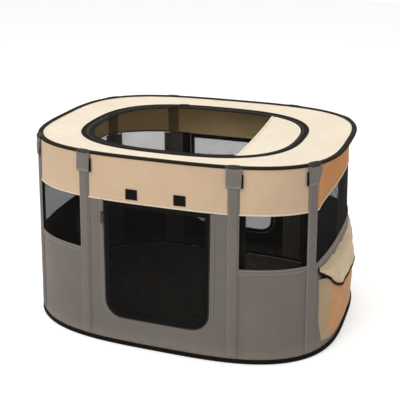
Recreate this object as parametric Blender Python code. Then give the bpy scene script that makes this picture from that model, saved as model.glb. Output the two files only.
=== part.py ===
"""Foldable pet playpen: a fabric pen on two sprung hoops, with upright stays, a net lid and two net doors.

Metres, +Z up. The origin is on the ground, at the middle of the plan. +X is the end with the pocket,
-Y is the front. The walls follow one plan outline, a superellipse that spreads from the rim to the base,
and across each end the cloth is drawn in flat between the end posts, while the two hoops keep their curve.
"""

import math

import bmesh
import bpy
import numpy as np

# Overall form
TOP_LENGTH = 0.800
TOP_WIDTH = 0.615
BASE_LENGTH = 0.828
BASE_WIDTH = 0.649
HEIGHT = 0.500
CORNER_POWER = 3.19

# Materials' thicknesses and the gaps between touching pieces
GAP = 0.0003
CLOTH = 0.0016
NET = 0.0010

# Hoops and the tapes folded over them
TOP_WIRE = 0.0040
BASE_WIRE = 0.0056
TAPE = 0.0015
HOOP_SIDES = 6
TAPE_SIDES = 8

# Seams in the wall: the band's depth from the rim, the windows' from the band
BAND_DEPTH = 0.116
WINDOW_DEPTH = 0.135

# Ends drawn flat between their posts: how far in at the middle, and how low the cloth is back in the rim
END_PULL = 0.030
PULL_POWER = 4
NECK_BELOW_RIM = 0.030
SLEEVE_MARGIN = 0.002

# Uprights: a flat stay in a sewn sleeve at each post, with a hood over its mouth
SIDE_POST_X = 0.188
END_POST_Y = 0.216
STAY_WIDTH = 0.020
STAY_THICK = 0.0020
SLEEVE_WIDTH = 0.028
SLEEVE_CLOTH = 0.0008
SLEEVE_BELOW_RIM = 0.031
STAY_OUT = 0.012
HOOD_WIDTH = 0.036
HOOD_LENGTH = 0.052
HOOD_CLOTH = 0.0012
HOOD_FLARE = 0.013
HOOD_TURN = math.radians(15)

# Doorways in the front and the back
DOOR_WIDTH = 0.272
DOOR_SILL = 0.077
DOOR_CORNER = 0.045
DOOR_BORDER = 0.012
DOOR_ZIP = 0.009
ZIP_CLOTH = 0.0010

# Ties on the band that hold a rolled door
TAB_X = 0.0610
TAB_WIDTH = 0.031
TAB_ABOVE_DOOR = 0.008
TAB_HEIGHT = 0.0265
TAB_THICK = 0.0022
TAB_CHAMFER = 0.004

# Opening in the top, its zip, the fixed crescent and the net lid
OPENING_LENGTH = 0.583
OPENING_WIDTH = 0.470
OPENING_POWER = 2.67
OPENING_SHIFT = -0.010
OPENING_DROP = 0.010
OPENING_ZIP = 0.012
ZIP_DROP = 0.002
CRESCENT_X = 0.160
LID_BORDER = 0.018
LID_SAG = 0.010

# Pocket on the right end: how far inside the end posts its edges and its front's corners lie
POCKET_MARGIN = 0.019
POCKET_CORNER = 0.048
POCKET_BOTTOM = 0.032
POCKET_HEIGHT = 0.168
POCKET_DEPTH = 0.017
FLAP_ABOVE_POCKET = 0.032
FLAP_DROP = 0.074
FLAP_CORNER = 0.27
FLAP_CLEARANCE = 0.0030

# Zip sliders
SLIDER_LENGTH = 0.011
SLIDER_WIDTH = 0.0076
SLIDER_THICK = 0.0036
SLIDER_TAPER = 0.7
PULL_LENGTH = 0.024
PULL_WIDTH = 0.0060
PULL_THICK = 0.0012
PULL_TAPER = 0.6
DOOR_SLIDER_BELOW_BAND = 0.036
LID_SLIDER_X = -0.135

# Facets along each panel of the wall, and round the opening
END_FACETS = 8
CORNER_FACETS = 6
FRONT_FACETS = 8
CRESCENT_FACETS = 8
ARC_FACETS = 5

# What follows from the sizes above
TOP_TUBE = TOP_WIRE / 2 + GAP + TAPE
BASE_TUBE = BASE_WIRE / 2 + GAP + TAPE
TOP_RING_Z = HEIGHT - TOP_TUBE
BASE_RING_Z = BASE_TUBE
RING_OUT = -CLOTH / 2
WALL_FOOT = BASE_RING_Z + BASE_WIRE / 2 + GAP
WALL_HEAD = TOP_RING_Z - TOP_WIRE / 2 - GAP
NECK_Z = HEIGHT - NECK_BELOW_RIM
SHOULDER_Z = TOP_RING_Z - TOP_TUBE - GAP
SLEEVE_FOOT = BASE_RING_Z + BASE_TUBE + GAP
SLEEVE_DEPTH = STAY_THICK + 2 * GAP + 2 * SLEEVE_CLOTH
OPENING_Z = HEIGHT - OPENING_DROP
BAND_EDGE = HEIGHT - BAND_DEPTH
WINDOW_SILL = BAND_EDGE - WINDOW_DEPTH
SLEEVE_TOP = HEIGHT - SLEEVE_BELOW_RIM
HOOD_HEM = HEIGHT - HOOD_LENGTH
TAB_TOP = BAND_EDGE + TAB_ABOVE_DOOR + TAB_HEIGHT
POCKET_TOP = POCKET_BOTTOM + POCKET_HEIGHT
POCKET_FLAP_Z = POCKET_TOP + FLAP_ABOVE_POCKET
FLAP_EDGE_Z = POCKET_FLAP_Z - FLAP_DROP
POCKET_ROWS = (POCKET_BOTTOM, FLAP_EDGE_Z, POCKET_TOP)
DOOR_SLIDER_Z = BAND_EDGE - DOOR_SLIDER_BELOW_BAND


def signed_power(value, power):
    return math.copysign(abs(value) ** power, value)


def half_sizes(z):
    """Half the plan's length and width at a height."""
    rise = z / HEIGHT
    return (
        (BASE_LENGTH + (TOP_LENGTH - BASE_LENGTH) * rise) / 2,
        (BASE_WIDTH + (TOP_WIDTH - BASE_WIDTH) * rise) / 2,
    )


def plan_normal(angle, z):
    """Outward normal of the wall in plan."""
    half_x, half_y = half_sizes(z)
    nx = signed_power(math.cos(angle), 2 - 2 / CORNER_POWER) / half_x
    ny = signed_power(math.sin(angle), 2 - 2 / CORNER_POWER) / half_y
    size = math.hypot(nx, ny)
    return np.array([nx / size, ny / size, 0.0])


def end_pull(angle, z):
    """How far in the wall lies from the plan outline: only between the end posts, most in the middle."""
    across = abs(math.sin(angle)) / math.sin(END_EDGE_ANGLE)
    rise = np.clip((z - WALL_FOOT) / (BAND_EDGE - WALL_FOOT), 0.0, 1.0)
    neck = np.clip((SHOULDER_Z - z) / (SHOULDER_Z - NECK_Z), 0.0, 1.0)
    return END_PULL * max(0.0, 1 - across ** (2 * PULL_POWER / CORNER_POWER)) * float(rise * neck)


def wall_point(angle, z, out=0.0):
    """Point on the wall's outer face at a plan angle and a height, moved outwards by out."""
    half_x, half_y = half_sizes(z)
    x = half_x * signed_power(math.cos(angle), 2 / CORNER_POWER)
    x -= math.copysign(end_pull(angle, z), x)
    y = half_y * signed_power(math.sin(angle), 2 / CORNER_POWER)
    return np.array([x, y, z]) + plan_normal(angle, z) * out


def angle_at_x(x, z=HEIGHT):
    """Plan angle, in the back right quarter, of the wall's point at a distance x from the middle."""
    return math.acos((x / half_sizes(z)[0]) ** (CORNER_POWER / 2))


def angle_at_y(y, z=HEIGHT):
    return math.asin((y / half_sizes(z)[1]) ** (CORNER_POWER / 2))


END_EDGE_ANGLE = angle_at_y(END_POST_Y - SLEEVE_WIDTH / 2 - SLEEVE_MARGIN)


def even_angles(start, end, facets, trim=0.0):
    """Plan angles that divide the rim evenly between two angles, its two ends drawn in by trim."""
    fine = np.linspace(start, end, 400)
    points = np.array([wall_point(angle, HEIGHT) for angle in fine])
    run = np.concatenate([[0.0], np.cumsum(np.linalg.norm(np.diff(points, axis=0), axis=1))])
    stops = np.linspace(0.0, run[-1], facets + 1)
    stops[0] = trim
    stops[-1] = run[-1] - trim
    return [float(angle) for angle in np.interp(stops, run, fine)]


END_ANGLE = angle_at_y(END_POST_Y)
SIDE_ANGLE = angle_at_x(SIDE_POST_X)
TURN = 2 * math.pi

# Panels of the wall, anticlockwise from the right end: their two end angles and their facets
PANELS = {
    "right": (-END_ANGLE, END_ANGLE, END_FACETS),
    "back_right": (END_ANGLE, SIDE_ANGLE, CORNER_FACETS),
    "back": (SIDE_ANGLE, math.pi - SIDE_ANGLE, FRONT_FACETS),
    "back_left": (math.pi - SIDE_ANGLE, math.pi - END_ANGLE, CORNER_FACETS),
    "left": (math.pi - END_ANGLE, math.pi + END_ANGLE, END_FACETS),
    "front_left": (math.pi + END_ANGLE, math.pi + SIDE_ANGLE, CORNER_FACETS),
    "front": (math.pi + SIDE_ANGLE, TURN - SIDE_ANGLE, FRONT_FACETS),
    "front_right": (TURN - SIDE_ANGLE, TURN - END_ANGLE, CORNER_FACETS),
}

# Posts, named by where they stand
POSTS = {
    "back_end_right": END_ANGLE,
    "back_side_right": SIDE_ANGLE,
    "back_side_left": math.pi - SIDE_ANGLE,
    "back_end_left": math.pi - END_ANGLE,
    "front_end_left": math.pi + END_ANGLE,
    "front_side_left": math.pi + SIDE_ANGLE,
    "front_side_right": TURN - SIDE_ANGLE,
    "front_end_right": TURN - END_ANGLE,
}


def stations(name, trim=0.0):
    """Angles along one panel; an end's cloth starts to draw in beside its sleeves, so it has facets there."""
    start, end, facets = PANELS[name]
    even = even_angles(start, end, facets, trim)
    if name in ("right", "left"):
        middle = (start + end) / 2
        drawn = even_angles(middle - END_EDGE_ANGLE, middle + END_EDGE_ANGLE, facets - 2)
        return [even[0]] + drawn + [even[-1]]
    return even


END_STATIONS = stations("right")


def panel_angles(*names):
    """Angles along one or more neighbouring panels, a seam's gap short of the posts at both ends."""
    joined = []
    for name in names:
        joined += stations(name)[:-1]
    joined.append(PANELS[names[-1]][1])
    return [stations(names[0], GAP / 2)[0]] + joined[1:-1] + [stations(names[-1], GAP / 2)[-1]]


def rim_angles():
    """Angles all the way round, the last one left out because it is the first again."""
    found = []
    for name in PANELS:
        found += stations(name)[:-1]
    return found


# Materials

FINISHES = {
    "cream": ((0.86, 0.78, 0.66), 0.85, 0.0),
    "tan": ((0.60, 0.44, 0.30), 0.85, 0.0),
    "grey": ((0.19, 0.17, 0.155), 0.85, 0.0),
    "net": ((0.02, 0.019, 0.018), 0.80, 0.0),
    "binding": ((0.03, 0.022, 0.016), 0.80, 0.0),
    "zip": ((0.015, 0.015, 0.015), 0.60, 0.0),
    "steel": ((0.55, 0.55, 0.56), 0.35, 1.0),
    "stay": ((0.75, 0.73, 0.66), 0.45, 0.0),
    "slider": ((0.05, 0.05, 0.052), 0.40, 0.6),
}


def material(node, finish):
    colour, roughness, metallic = FINISHES[finish]
    made = bpy.data.materials.new(f"{node}_{finish}")
    made.use_nodes = True
    shader = made.node_tree.nodes["Principled BSDF"]
    shader.inputs["Base Color"].default_value = (*colour, 1.0)
    shader.inputs["Roughness"].default_value = roughness
    shader.inputs["Metallic"].default_value = metallic
    return made


# Forms

def new_object(name, shape, origin=(0.0, 0.0, 0.0)):
    """Object made from a bmesh in world places, its own origin at a joint's axis where it moves."""
    bmesh.ops.recalc_face_normals(shape, faces=shape.faces)
    bmesh.ops.translate(shape, verts=shape.verts, vec=[-value for value in origin])
    mesh = bpy.data.meshes.new(name)
    shape.to_mesh(mesh)
    shape.free()
    made = bpy.data.objects.new(name, mesh)
    made.location = origin
    bpy.context.scene.collection.objects.link(made)
    return made


def loft_shape(sections, closed=False, split=False):
    """Skin through sections of equally many points; closed joins the last to the first, else both are capped.

    Split cuts each face along its shorter diagonal, so that two sheets with the same twisted facets lie close.
    """
    shape = bmesh.new()
    rings = [[shape.verts.new(point) for point in section] for section in sections]
    following = rings[1:] + rings[:1] if closed else rings[1:]
    for ring, onward in zip(rings, following):
        for i in range(len(ring)):
            j = (i + 1) % len(ring)
            a, b, c, d = ring[i], ring[j], onward[j], onward[i]
            if not split:
                shape.faces.new((a, b, c, d))
            elif (a.co - c.co).length < (b.co - d.co).length:
                shape.faces.new((a, b, c))
                shape.faces.new((a, c, d))
            else:
                shape.faces.new((a, b, d))
                shape.faces.new((b, c, d))
    if not closed:
        shape.faces.new(rings[0])
        shape.faces.new(rings[-1])
    return shape


def loft(name, sections, finish, closed=False, origin=(0.0, 0.0, 0.0), split=False):
    made = new_object(name, loft_shape(sections, closed, split), origin)
    made.data.materials.append(material(name, finish))
    return made


def wall_sheet(angles, low, high, inner, outer, between=(NECK_Z, SHOULDER_Z)):
    """Sections of a sheet in the wall: at each angle, up its inner face and down its outer face."""
    rows = [low] + [z for z in between if low < z < high] + [high]
    return [
        [wall_point(angle, z, inner) for z in rows] + [wall_point(angle, z, outer) for z in rows[::-1]]
        for angle in angles
    ]


def cutter(name, sections, split=False):
    """Solid that only cuts: the build leaves it out."""
    made = new_object(name, loft_shape(sections, split=split))
    made.hide_render = True
    made.display_type = "WIRE"
    return made


def combine(target, other, operation):
    boolean = target.modifiers.new(f"{operation.lower()}_{other.name}", "BOOLEAN")
    boolean.operation = operation
    boolean.object = other
    boolean.solver = "EXACT"


def smooth(made, degrees=40):
    """Round pieces are shaded smooth, with their real edges kept sharp."""
    made.data.shade_smooth()
    made.data.set_sharp_from_angle(angle=math.radians(degrees))


# Hoops and bindings

def ring_section(angle, z, polygon):
    """Section across a ring that runs along the wall, from points given as (out, up) about its middle."""
    return [wall_point(angle, z, RING_OUT + out) + np.array([0, 0, up]) for out, up in polygon]


def wire_polygon(radius):
    return [
        (radius * math.cos(turn), radius * math.sin(turn))
        for turn in np.linspace(0, TURN, HOOP_SIDES, endpoint=False)
    ]


def tape_polygon(outer, slit_direction):
    """Tape folded over a hoop: a C whose slit, pointing up (+1) or down (-1), takes the wall's edge."""
    inner = outer - TAPE
    half_slit = CLOTH / 2 + GAP
    start = math.asin(half_slit / outer)
    start_in = math.asin(half_slit / inner)
    sweep = np.linspace(start, TURN - start, TAPE_SIDES + 1)
    sweep_in = np.linspace(TURN - start_in, start_in, TAPE_SIDES + 1)
    around = [(outer, turn) for turn in sweep] + [(inner, turn) for turn in sweep_in]
    return [
        (radius * math.sin(turn), slit_direction * radius * math.cos(turn)) for radius, turn in around
    ]


def make_hoops():
    angles = rim_angles()
    for name, wire, tube, z, slit in (
        ("top", TOP_WIRE, TOP_TUBE, TOP_RING_Z, -1),
        ("base", BASE_WIRE, BASE_TUBE, BASE_RING_Z, 1),
    ):
        wire_points = wire_polygon(wire / 2)
        hoop = loft(f"{name}_hoop", [ring_section(a, z, wire_points) for a in angles], "steel", True)
        smooth(hoop, 70)
        tape_points = tape_polygon(tube, slit)
        tape = loft(f"{name}_binding", [ring_section(a, z, tape_points) for a in angles], "binding", True)
        smooth(tape, 60)


def make_floor():
    """Ground sheet, flat on the ground and clear of the base binding, which bulges inwards above its edge."""
    reach = RING_OUT - math.sqrt(BASE_TUBE**2 - (BASE_TUBE - 2 * CLOTH) ** 2)
    low = [wall_point(angle, BASE_RING_Z, reach) * [1, 1, 0] for angle in rim_angles()]
    high = [point + np.array([0, 0, CLOTH]) for point in low]
    loft("floor", [low, high], "grey")


# Walls

def make_band():
    sections = wall_sheet(rim_angles(), BAND_EDGE, WALL_HEAD, -CLOTH, 0.0)
    loft("upper_band", sections, "tan", True)


def with_station(sections, angles, added):
    """The sections with one more between two neighbours, where it lies on the straight facet."""
    for i, (before, after) in enumerate(zip(angles, angles[1:])):
        if before < added < after:
            share = (added - before) / (after - before)
            between = [a * (1 - share) + b * share for a, b in zip(sections[i], sections[i + 1])]
            return sections[: i + 1] + [between] + sections[i + 1 :]
    return sections


def make_end_walls():
    """The grey cloth wraps round each end in one piece, below the windows."""
    for end in ("right", "left"):
        order = (f"front_{end}", end, f"back_{end}")
        angles = panel_angles(*(order if end == "right" else order[::-1]))
        behind_pocket = (*POCKET_ROWS, POCKET_FLAP_Z) if end == "right" else ()
        sections = wall_sheet(angles, WALL_FOOT, WINDOW_SILL, -CLOTH, 0.0, behind_pocket)
        if end == "right":
            for added in pocket_angles(POCKET_MARGIN):
                sections = with_station(sections, angles, added)
                angles = sorted(set(angles) | {added}, key=lambda angle: (angle < math.pi, angle))
        loft(f"{end}_wall", sections, "grey", split=True)


def make_windows():
    inner = -(CLOTH + NET) / 2
    outer = -(CLOTH - NET) / 2
    for name in ("right", "back_right", "back_left", "left", "front_left", "front_right"):
        sections = wall_sheet(panel_angles(name), WINDOW_SILL + GAP, BAND_EDGE - GAP, inner, outer)
        loft(f"{name}_window", sections, "net")


def door_section(y, grow, top):
    """Outline of a doorway, straight down from the band and round at its lower corners, grown all round."""
    half = DOOR_WIDTH / 2 + grow
    radius = DOOR_CORNER + grow
    sill = DOOR_SILL - grow
    points = [(half, top)]
    for turn in np.linspace(0, math.pi / 2, ARC_FACETS + 1):
        points.append((half - radius + radius * math.cos(turn), sill + radius - radius * math.sin(turn)))
    points += [(-x, z) for x, z in points[::-1]]
    return [np.array([x, y, z]) for x, z in points]


def door_prism(name, grow, top):
    return cutter(name, [door_section(-BASE_WIDTH, grow, top), door_section(BASE_WIDTH, grow, top)])


def make_doors():
    """Each doorway has a wall with a U cut out of it, a zip round the U, and a net door with a sewn border."""
    above = BAND_EDGE + DOOR_BORDER
    edge = BAND_EDGE - GAP
    wall_cut = door_prism("wall_cut", GAP, above)
    door_cut = door_prism("door_cut", 0.0, above)
    net_cut = door_prism("net_cut", -DOOR_BORDER, edge - DOOR_BORDER)
    zip_cut = door_prism("zip_cut", DOOR_ZIP, above)
    for side in ("front", "back"):
        angles = panel_angles(side)
        wall = loft(f"{side}_wall", wall_sheet(angles, WALL_FOOT, edge, -CLOTH, 0.0), "grey")
        combine(wall, wall_cut, "DIFFERENCE")

        below = DOOR_SILL - 2 * DOOR_ZIP
        tape = loft(f"{side}_door_zip", wall_sheet(angles, below, edge, GAP, GAP + ZIP_CLOTH), "zip")
        combine(tape, zip_cut, "INTERSECT")
        combine(tape, wall_cut, "DIFFERENCE")

        hinge_y = wall_point(-math.pi / 2 if side == "front" else math.pi / 2, BAND_EDGE)[1]
        hinge = (0.0, hinge_y, BAND_EDGE)
        thin = (-(CLOTH + NET) / 2, -(CLOTH - NET) / 2)
        net = new_object(f"{side}_net", loft_shape(wall_sheet(angles, below, edge, *thin)))
        net.hide_render = True
        net.display_type = "WIRE"
        combine(net, door_cut, "INTERSECT")
        door = loft(f"{side}_door", wall_sheet(angles, below, edge, -CLOTH, 0.0), "net", origin=hinge)
        combine(door, door_cut, "INTERSECT")
        combine(door, net_cut, "DIFFERENCE")
        combine(door, net, "UNION")


# Uprights

def across(angle, z, side, out):
    """Point beside a post: side along the wall, out from it."""
    normal = plan_normal(angle, z)
    tangent = np.array([-normal[1], normal[0], 0.0])
    return wall_point(angle, z, out) + tangent * side


def bar_section(angle, z, width, inner, outer):
    return [
        across(angle, z, -width / 2, inner),
        across(angle, z, width / 2, inner),
        across(angle, z, width / 2, outer),
        across(angle, z, -width / 2, outer),
    ]


def make_sleeve(name, angle):
    """Flat tube sewn on the wall's outside, closed at its foot and open at its mouth."""
    inner, outer = GAP, GAP + SLEEVE_DEPTH
    hollow_in, hollow_out = inner + SLEEVE_CLOTH, outer - SLEEVE_CLOTH
    hollow = STAY_WIDTH + 2 * GAP
    sections = [
        bar_section(angle, SLEEVE_FOOT, SLEEVE_WIDTH, inner, outer),
        bar_section(angle, SLEEVE_TOP, SLEEVE_WIDTH, inner, outer),
        bar_section(angle, SLEEVE_TOP, hollow, hollow_in, hollow_out),
        bar_section(angle, SLEEVE_FOOT + CLOTH, hollow, hollow_in, hollow_out),
    ]
    loft(f"{name}_sleeve", sections, "grey")


def make_stay(name, angle):
    """Flat springy bar in the sleeve, its rounded head out of the mouth under the hood."""
    inner = GAP + SLEEVE_CLOTH + GAP
    outer = inner + STAY_THICK
    foot = SLEEVE_FOOT + CLOTH + GAP
    head = SLEEVE_TOP + STAY_OUT
    round_off = STAY_WIDTH / 4
    sections = [
        bar_section(angle, foot, STAY_WIDTH, inner, outer),
        bar_section(angle, head - round_off, STAY_WIDTH, inner, outer),
        bar_section(angle, head - round_off / 3, STAY_WIDTH - round_off, inner, outer),
        bar_section(angle, head, STAY_WIDTH - 2 * round_off, inner, outer),
    ]
    loft(f"{name}_stay", sections, "stay")


def make_hood(name, angle):
    """Flap that starts on the rim's binding and hangs over the sleeve's mouth; it lifts about the binding."""
    near = TOP_TUBE + GAP
    far = near + HOOD_CLOTH
    fall = GAP + SLEEVE_DEPTH + GAP - RING_OUT
    turns = np.linspace(HOOD_TURN, 0, 4)
    inside = [(near * math.cos(turn), TOP_RING_Z + near * math.sin(turn)) for turn in turns]
    inside += [(fall, TOP_RING_Z - HOOD_FLARE), (fall, HOOD_HEM)]
    outside = [(far * math.cos(turn), TOP_RING_Z + far * math.sin(turn)) for turn in turns]
    outside += [(fall + HOOD_CLOTH, TOP_RING_Z - HOOD_FLARE), (fall + HOOD_CLOTH, HOOD_HEM)]
    profile = inside + outside[::-1]
    sections = [
        [across(angle, z, side, RING_OUT + out) for out, z in profile]
        for side in (-HOOD_WIDTH / 2, HOOD_WIDTH / 2)
    ]
    origin = tuple(float(value) for value in wall_point(angle, TOP_RING_Z, RING_OUT))
    loft(f"{name}_hood", sections, "grey", origin=origin)


def make_posts():
    for name, angle in POSTS.items():
        make_sleeve(name, angle)
        make_stay(name, angle)
        make_hood(name, angle)


# Ties

def make_tabs():
    """Flat ties sewn to the band along their upper edge."""
    half = TAB_WIDTH / 2
    foot = TAB_TOP - TAB_HEIGHT
    outline = [
        (-half, TAB_TOP),
        (half, TAB_TOP),
        (half, foot + TAB_CHAMFER),
        (half - TAB_CHAMFER, foot),
        (-half + TAB_CHAMFER, foot),
        (-half, foot + TAB_CHAMFER),
    ]
    for side, turn in (("front", -1), ("back", 1)):
        for hand, x in (("left", -TAB_X), ("right", TAB_X)):
            angle = turn * angle_at_x(TAB_X, TAB_TOP)
            if x < 0:
                angle = turn * math.pi - angle
            sections = [
                [across(angle, z, along, out) for along, z in outline]
                for out in (GAP, GAP + TAB_THICK)
            ]
            hinge = tuple(float(value) for value in wall_point(angle, TAB_TOP, GAP + TAB_THICK))
            loft(f"{side}_{hand}_tab", sections, "zip", origin=hinge)


# Top

def opening_angle_at(x, inset):
    """Angle round the opening, drawn in by inset, of the point in its back half at a place along X."""
    share = (x - OPENING_SHIFT) / (OPENING_LENGTH / 2 - inset)
    return math.acos(signed_power(share, OPENING_POWER / 2))


def opening_point(angle, z, inset=0.0):
    half_x = OPENING_LENGTH / 2 - inset
    half_y = OPENING_WIDTH / 2 - inset
    x = OPENING_SHIFT + half_x * signed_power(math.cos(angle), 2 / OPENING_POWER)
    y = half_y * signed_power(math.sin(angle), 2 / OPENING_POWER)
    return np.array([x, y, z])


def opening_even(start, end, facets):
    fine = np.linspace(start, end, 400)
    points = np.array([opening_point(angle, 0.0) for angle in fine])
    run = np.concatenate([[0.0], np.cumsum(np.linalg.norm(np.diff(points, axis=0), axis=1))])
    return [float(angle) for angle in np.interp(np.linspace(0, run[-1], facets + 1), run, fine)]


CHORD_ANGLE = opening_angle_at(CRESCENT_X, OPENING_ZIP)


def opening_half_angles():
    """Angles of the opening's back half, from its right tip to its left tip, with one at the crescent's edge."""
    facets = len(rim_angles()) // 2
    crescent = opening_even(0.0, CHORD_ANGLE, CRESCENT_FACETS)
    lid = opening_even(CHORD_ANGLE, math.pi, facets - CRESCENT_FACETS)
    return crescent + lid[1:]


def opening_angles():
    half = opening_half_angles()
    return half[:-1] + [TURN - angle for angle in half[:0:-1]]


def rim_angles_from_tip():
    """The rim's angles from the middle of the right end, to match the opening's."""
    angles = rim_angles()
    start = END_FACETS // 2
    return angles[start:] + angles[:start]


def make_top_panel():
    edge = RING_OUT - TOP_TUBE - GAP
    sections = []
    for rim, hole in zip(rim_angles_from_tip(), opening_angles()):
        outer = wall_point(rim, TOP_RING_Z, edge)
        inner = opening_point(hole, OPENING_Z)
        up = np.array([0, 0, CLOTH / 2])
        sections.append([outer - up, outer + up, inner + up, inner - up])
    loft("top_panel", sections, "cream", True)


def make_opening_zip():
    sections = []
    up = np.array([0, 0, CLOTH / 2])
    for angle in opening_angles():
        outer = opening_point(angle, OPENING_Z, GAP)
        inner = opening_point(angle, OPENING_Z - ZIP_DROP, OPENING_ZIP)
        sections.append([outer - up, outer + up, inner + up, inner - up])
    loft("opening_zip", sections, "zip", True)


def make_crescent():
    """Fixed panel that closes the right end of the opening."""
    half = opening_even(0.0, CHORD_ANGLE, CRESCENT_FACETS)
    angles = [-angle for angle in half[::-1]] + half[1:]
    z = OPENING_Z - ZIP_DROP
    low = [opening_point(angle, z - CLOTH / 2, OPENING_ZIP + GAP) for angle in angles]
    high = [opening_point(angle, z + CLOTH / 2, OPENING_ZIP + GAP) for angle in angles]
    loft("crescent_panel", [low, high], "cream")


def make_lid():
    """Net lid with a stiff border, sagging a little in its middle, hinged on its face along the crescent."""
    z = OPENING_Z - ZIP_DROP
    half = opening_half_angles()[CRESCENT_FACETS:]
    arc = half + [TURN - angle for angle in half[-2::-1]]
    rim = [opening_point(angle, z, OPENING_ZIP + GAP) for angle in arc]
    seam_x = rim[0][0] - GAP
    rim[0][0] = rim[-1][0] = seam_x
    reach = rim[0][1]
    chord = [np.array([seam_x, y, z]) for y in np.linspace(-reach, reach, CRESCENT_FACETS + 1)[1:-1]]
    loop = rim + chord
    middle = np.array([OPENING_SHIFT / 2 - (OPENING_LENGTH / 2 - CRESCENT_X) / 4, 0.0, z])
    border_share = 1 - LID_BORDER / (OPENING_WIDTH / 2)

    def layer(share, drop, thick):
        points = [middle + (point - middle) * share for point in loop]
        half_up = np.array([0, 0, thick / 2])
        return [p - half_up - [0, 0, drop] for p in points], [p + half_up - [0, 0, drop] for p in points]

    under, over = [], []
    for share, drop, thick in (
        (1.0, 0.0, CLOTH),
        (border_share, 0.0008, CLOTH),
        (border_share - 0.005, 0.0009, NET),
        (0.55, 0.7 * LID_SAG, NET),
        (0.12, LID_SAG, NET),
    ):
        low, high = layer(share, drop, thick)
        under.append(low)
        over.append(high)
    sections = under[::-1] + over
    hinge = (float(rim[0][0]), 0.0, z + CLOTH / 2)
    lid = loft("lid", sections, "net", origin=hinge)
    smooth(lid, 30)


# Pocket

def end_point(angle, z, out=0.0):
    """Point on the right end's flat facets, moved straight along X."""
    onward = min(max(int(np.searchsorted(END_STATIONS, angle)), 1), len(END_STATIONS) - 1)
    before, after = END_STATIONS[onward - 1], END_STATIONS[onward]
    share = (angle - before) / (after - before)
    on_wall = wall_point(before, z) * (1 - share) + wall_point(after, z) * share
    return on_wall + np.array([out, 0.0, 0.0])


def pocket_edges(margin):
    """The right end's angles at a margin inside its two posts."""
    edge = even_angles(*PANELS["right"], trim=margin)[-1]
    return -edge, edge


def pocket_angles(margin):
    """Angles across the pocket: its edges a margin inside the end posts, its corners, the wall's own between."""
    first, last = pocket_edges(margin)
    low, high = pocket_edges(POCKET_CORNER)
    between = [angle for angle in END_STATIONS if low < angle < high]
    return [first, low] + between + [high, last]


def pocket_shares(margin):
    """The pocket's angles, each with its share of the pocket's full depth: none at its two edges."""
    angles = pocket_angles(margin)
    return [(angle, 0.0 if angle in (angles[0], angles[-1]) else 1.0) for angle in angles]


def make_pocket():
    """Bag with a front, two slanting gussets and a bottom, sewn to the end wall, which closes its back."""

    def bag(margin, rows, inner, edge_out, front_out):
        sections = []
        for angle, share in pocket_shares(margin):
            out = edge_out + (front_out - edge_out) * share
            back = [end_point(angle, z, inner) for z in rows]
            sections.append(back + [end_point(angle, z, out) for z in rows[::-1]])
        return sections

    outside = bag(POCKET_MARGIN, POCKET_ROWS, GAP, GAP + CLOTH, POCKET_DEPTH)
    pocket = loft("pocket", outside, "tan", split=True)
    rows = (POCKET_BOTTOM + CLOTH, FLAP_EDGE_Z, POCKET_TOP + POCKET_DEPTH)
    hollow = bag(POCKET_MARGIN + 3 * CLOTH, rows, -CLOTH, 2 * GAP, POCKET_DEPTH - CLOTH)
    combine(pocket, cutter("pocket_inside", hollow, split=True), "DIFFERENCE")


def make_pocket_flap():
    """Flap hinged on the wall above the pocket, its front hanging over the pocket's mouth, its corners cut off."""
    sections = []
    for angle, share in pocket_shares(POCKET_MARGIN):
        out = GAP + CLOTH + FLAP_CLEARANCE + (POCKET_DEPTH - GAP - CLOTH) * share
        low = POCKET_FLAP_Z - FLAP_DROP * (1.0 if share else FLAP_CORNER)
        knee = POCKET_TOP + FLAP_CLEARANCE if share else (POCKET_FLAP_Z + low) / 2
        under = [(POCKET_FLAP_Z, 2 * GAP), (knee, out), (low, out)]
        over = [(low, out + CLOTH), (knee + CLOTH / 2, out + CLOTH), (POCKET_FLAP_Z + CLOTH, 2 * GAP)]
        sections.append([end_point(angle, z, reach) for z, reach in under + over])
    hinge = tuple(float(value) for value in end_point(0.0, POCKET_FLAP_Z, 2 * GAP))
    loft("pocket_flap", sections, "cream", origin=hinge)


# Zip sliders

def make_slider(name, place, along, outward, pull_direction):
    """Slider body with its pull, from unit vectors along the zip, out of it, and down the pull."""
    place, along, outward, pull_direction = (
        np.array(value, dtype=float) for value in (place, along, outward, pull_direction)
    )

    def block(centre, length, width, thick, direction, taper):
        cross = np.cross(direction, outward)
        sections = []
        for step, share in ((-0.5, taper), (-0.25, 1.0), (0.3, 1.0), (0.5, taper)):
            half = width / 2 * share
            middle = centre + direction * length * step
            sections.append(
                [
                    middle - cross * half,
                    middle + cross * half,
                    middle + cross * half + outward * thick,
                    middle - cross * half + outward * thick,
                ]
            )
        return sections

    body = block(place, SLIDER_LENGTH, SLIDER_WIDTH, SLIDER_THICK, along, SLIDER_TAPER)
    pull_centre = place + pull_direction * (PULL_LENGTH / 2) + outward * (SLIDER_THICK - PULL_THICK / 2)
    pull = block(pull_centre, PULL_LENGTH, PULL_WIDTH, PULL_THICK, pull_direction, PULL_TAPER)
    slider = loft(name, body, "slider", origin=tuple(float(value) for value in place))
    pull_solid = new_object(f"{name}_pull", loft_shape(pull))
    pull_solid.hide_render = True
    pull_solid.display_type = "WIRE"
    combine(slider, pull_solid, "UNION")


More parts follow.
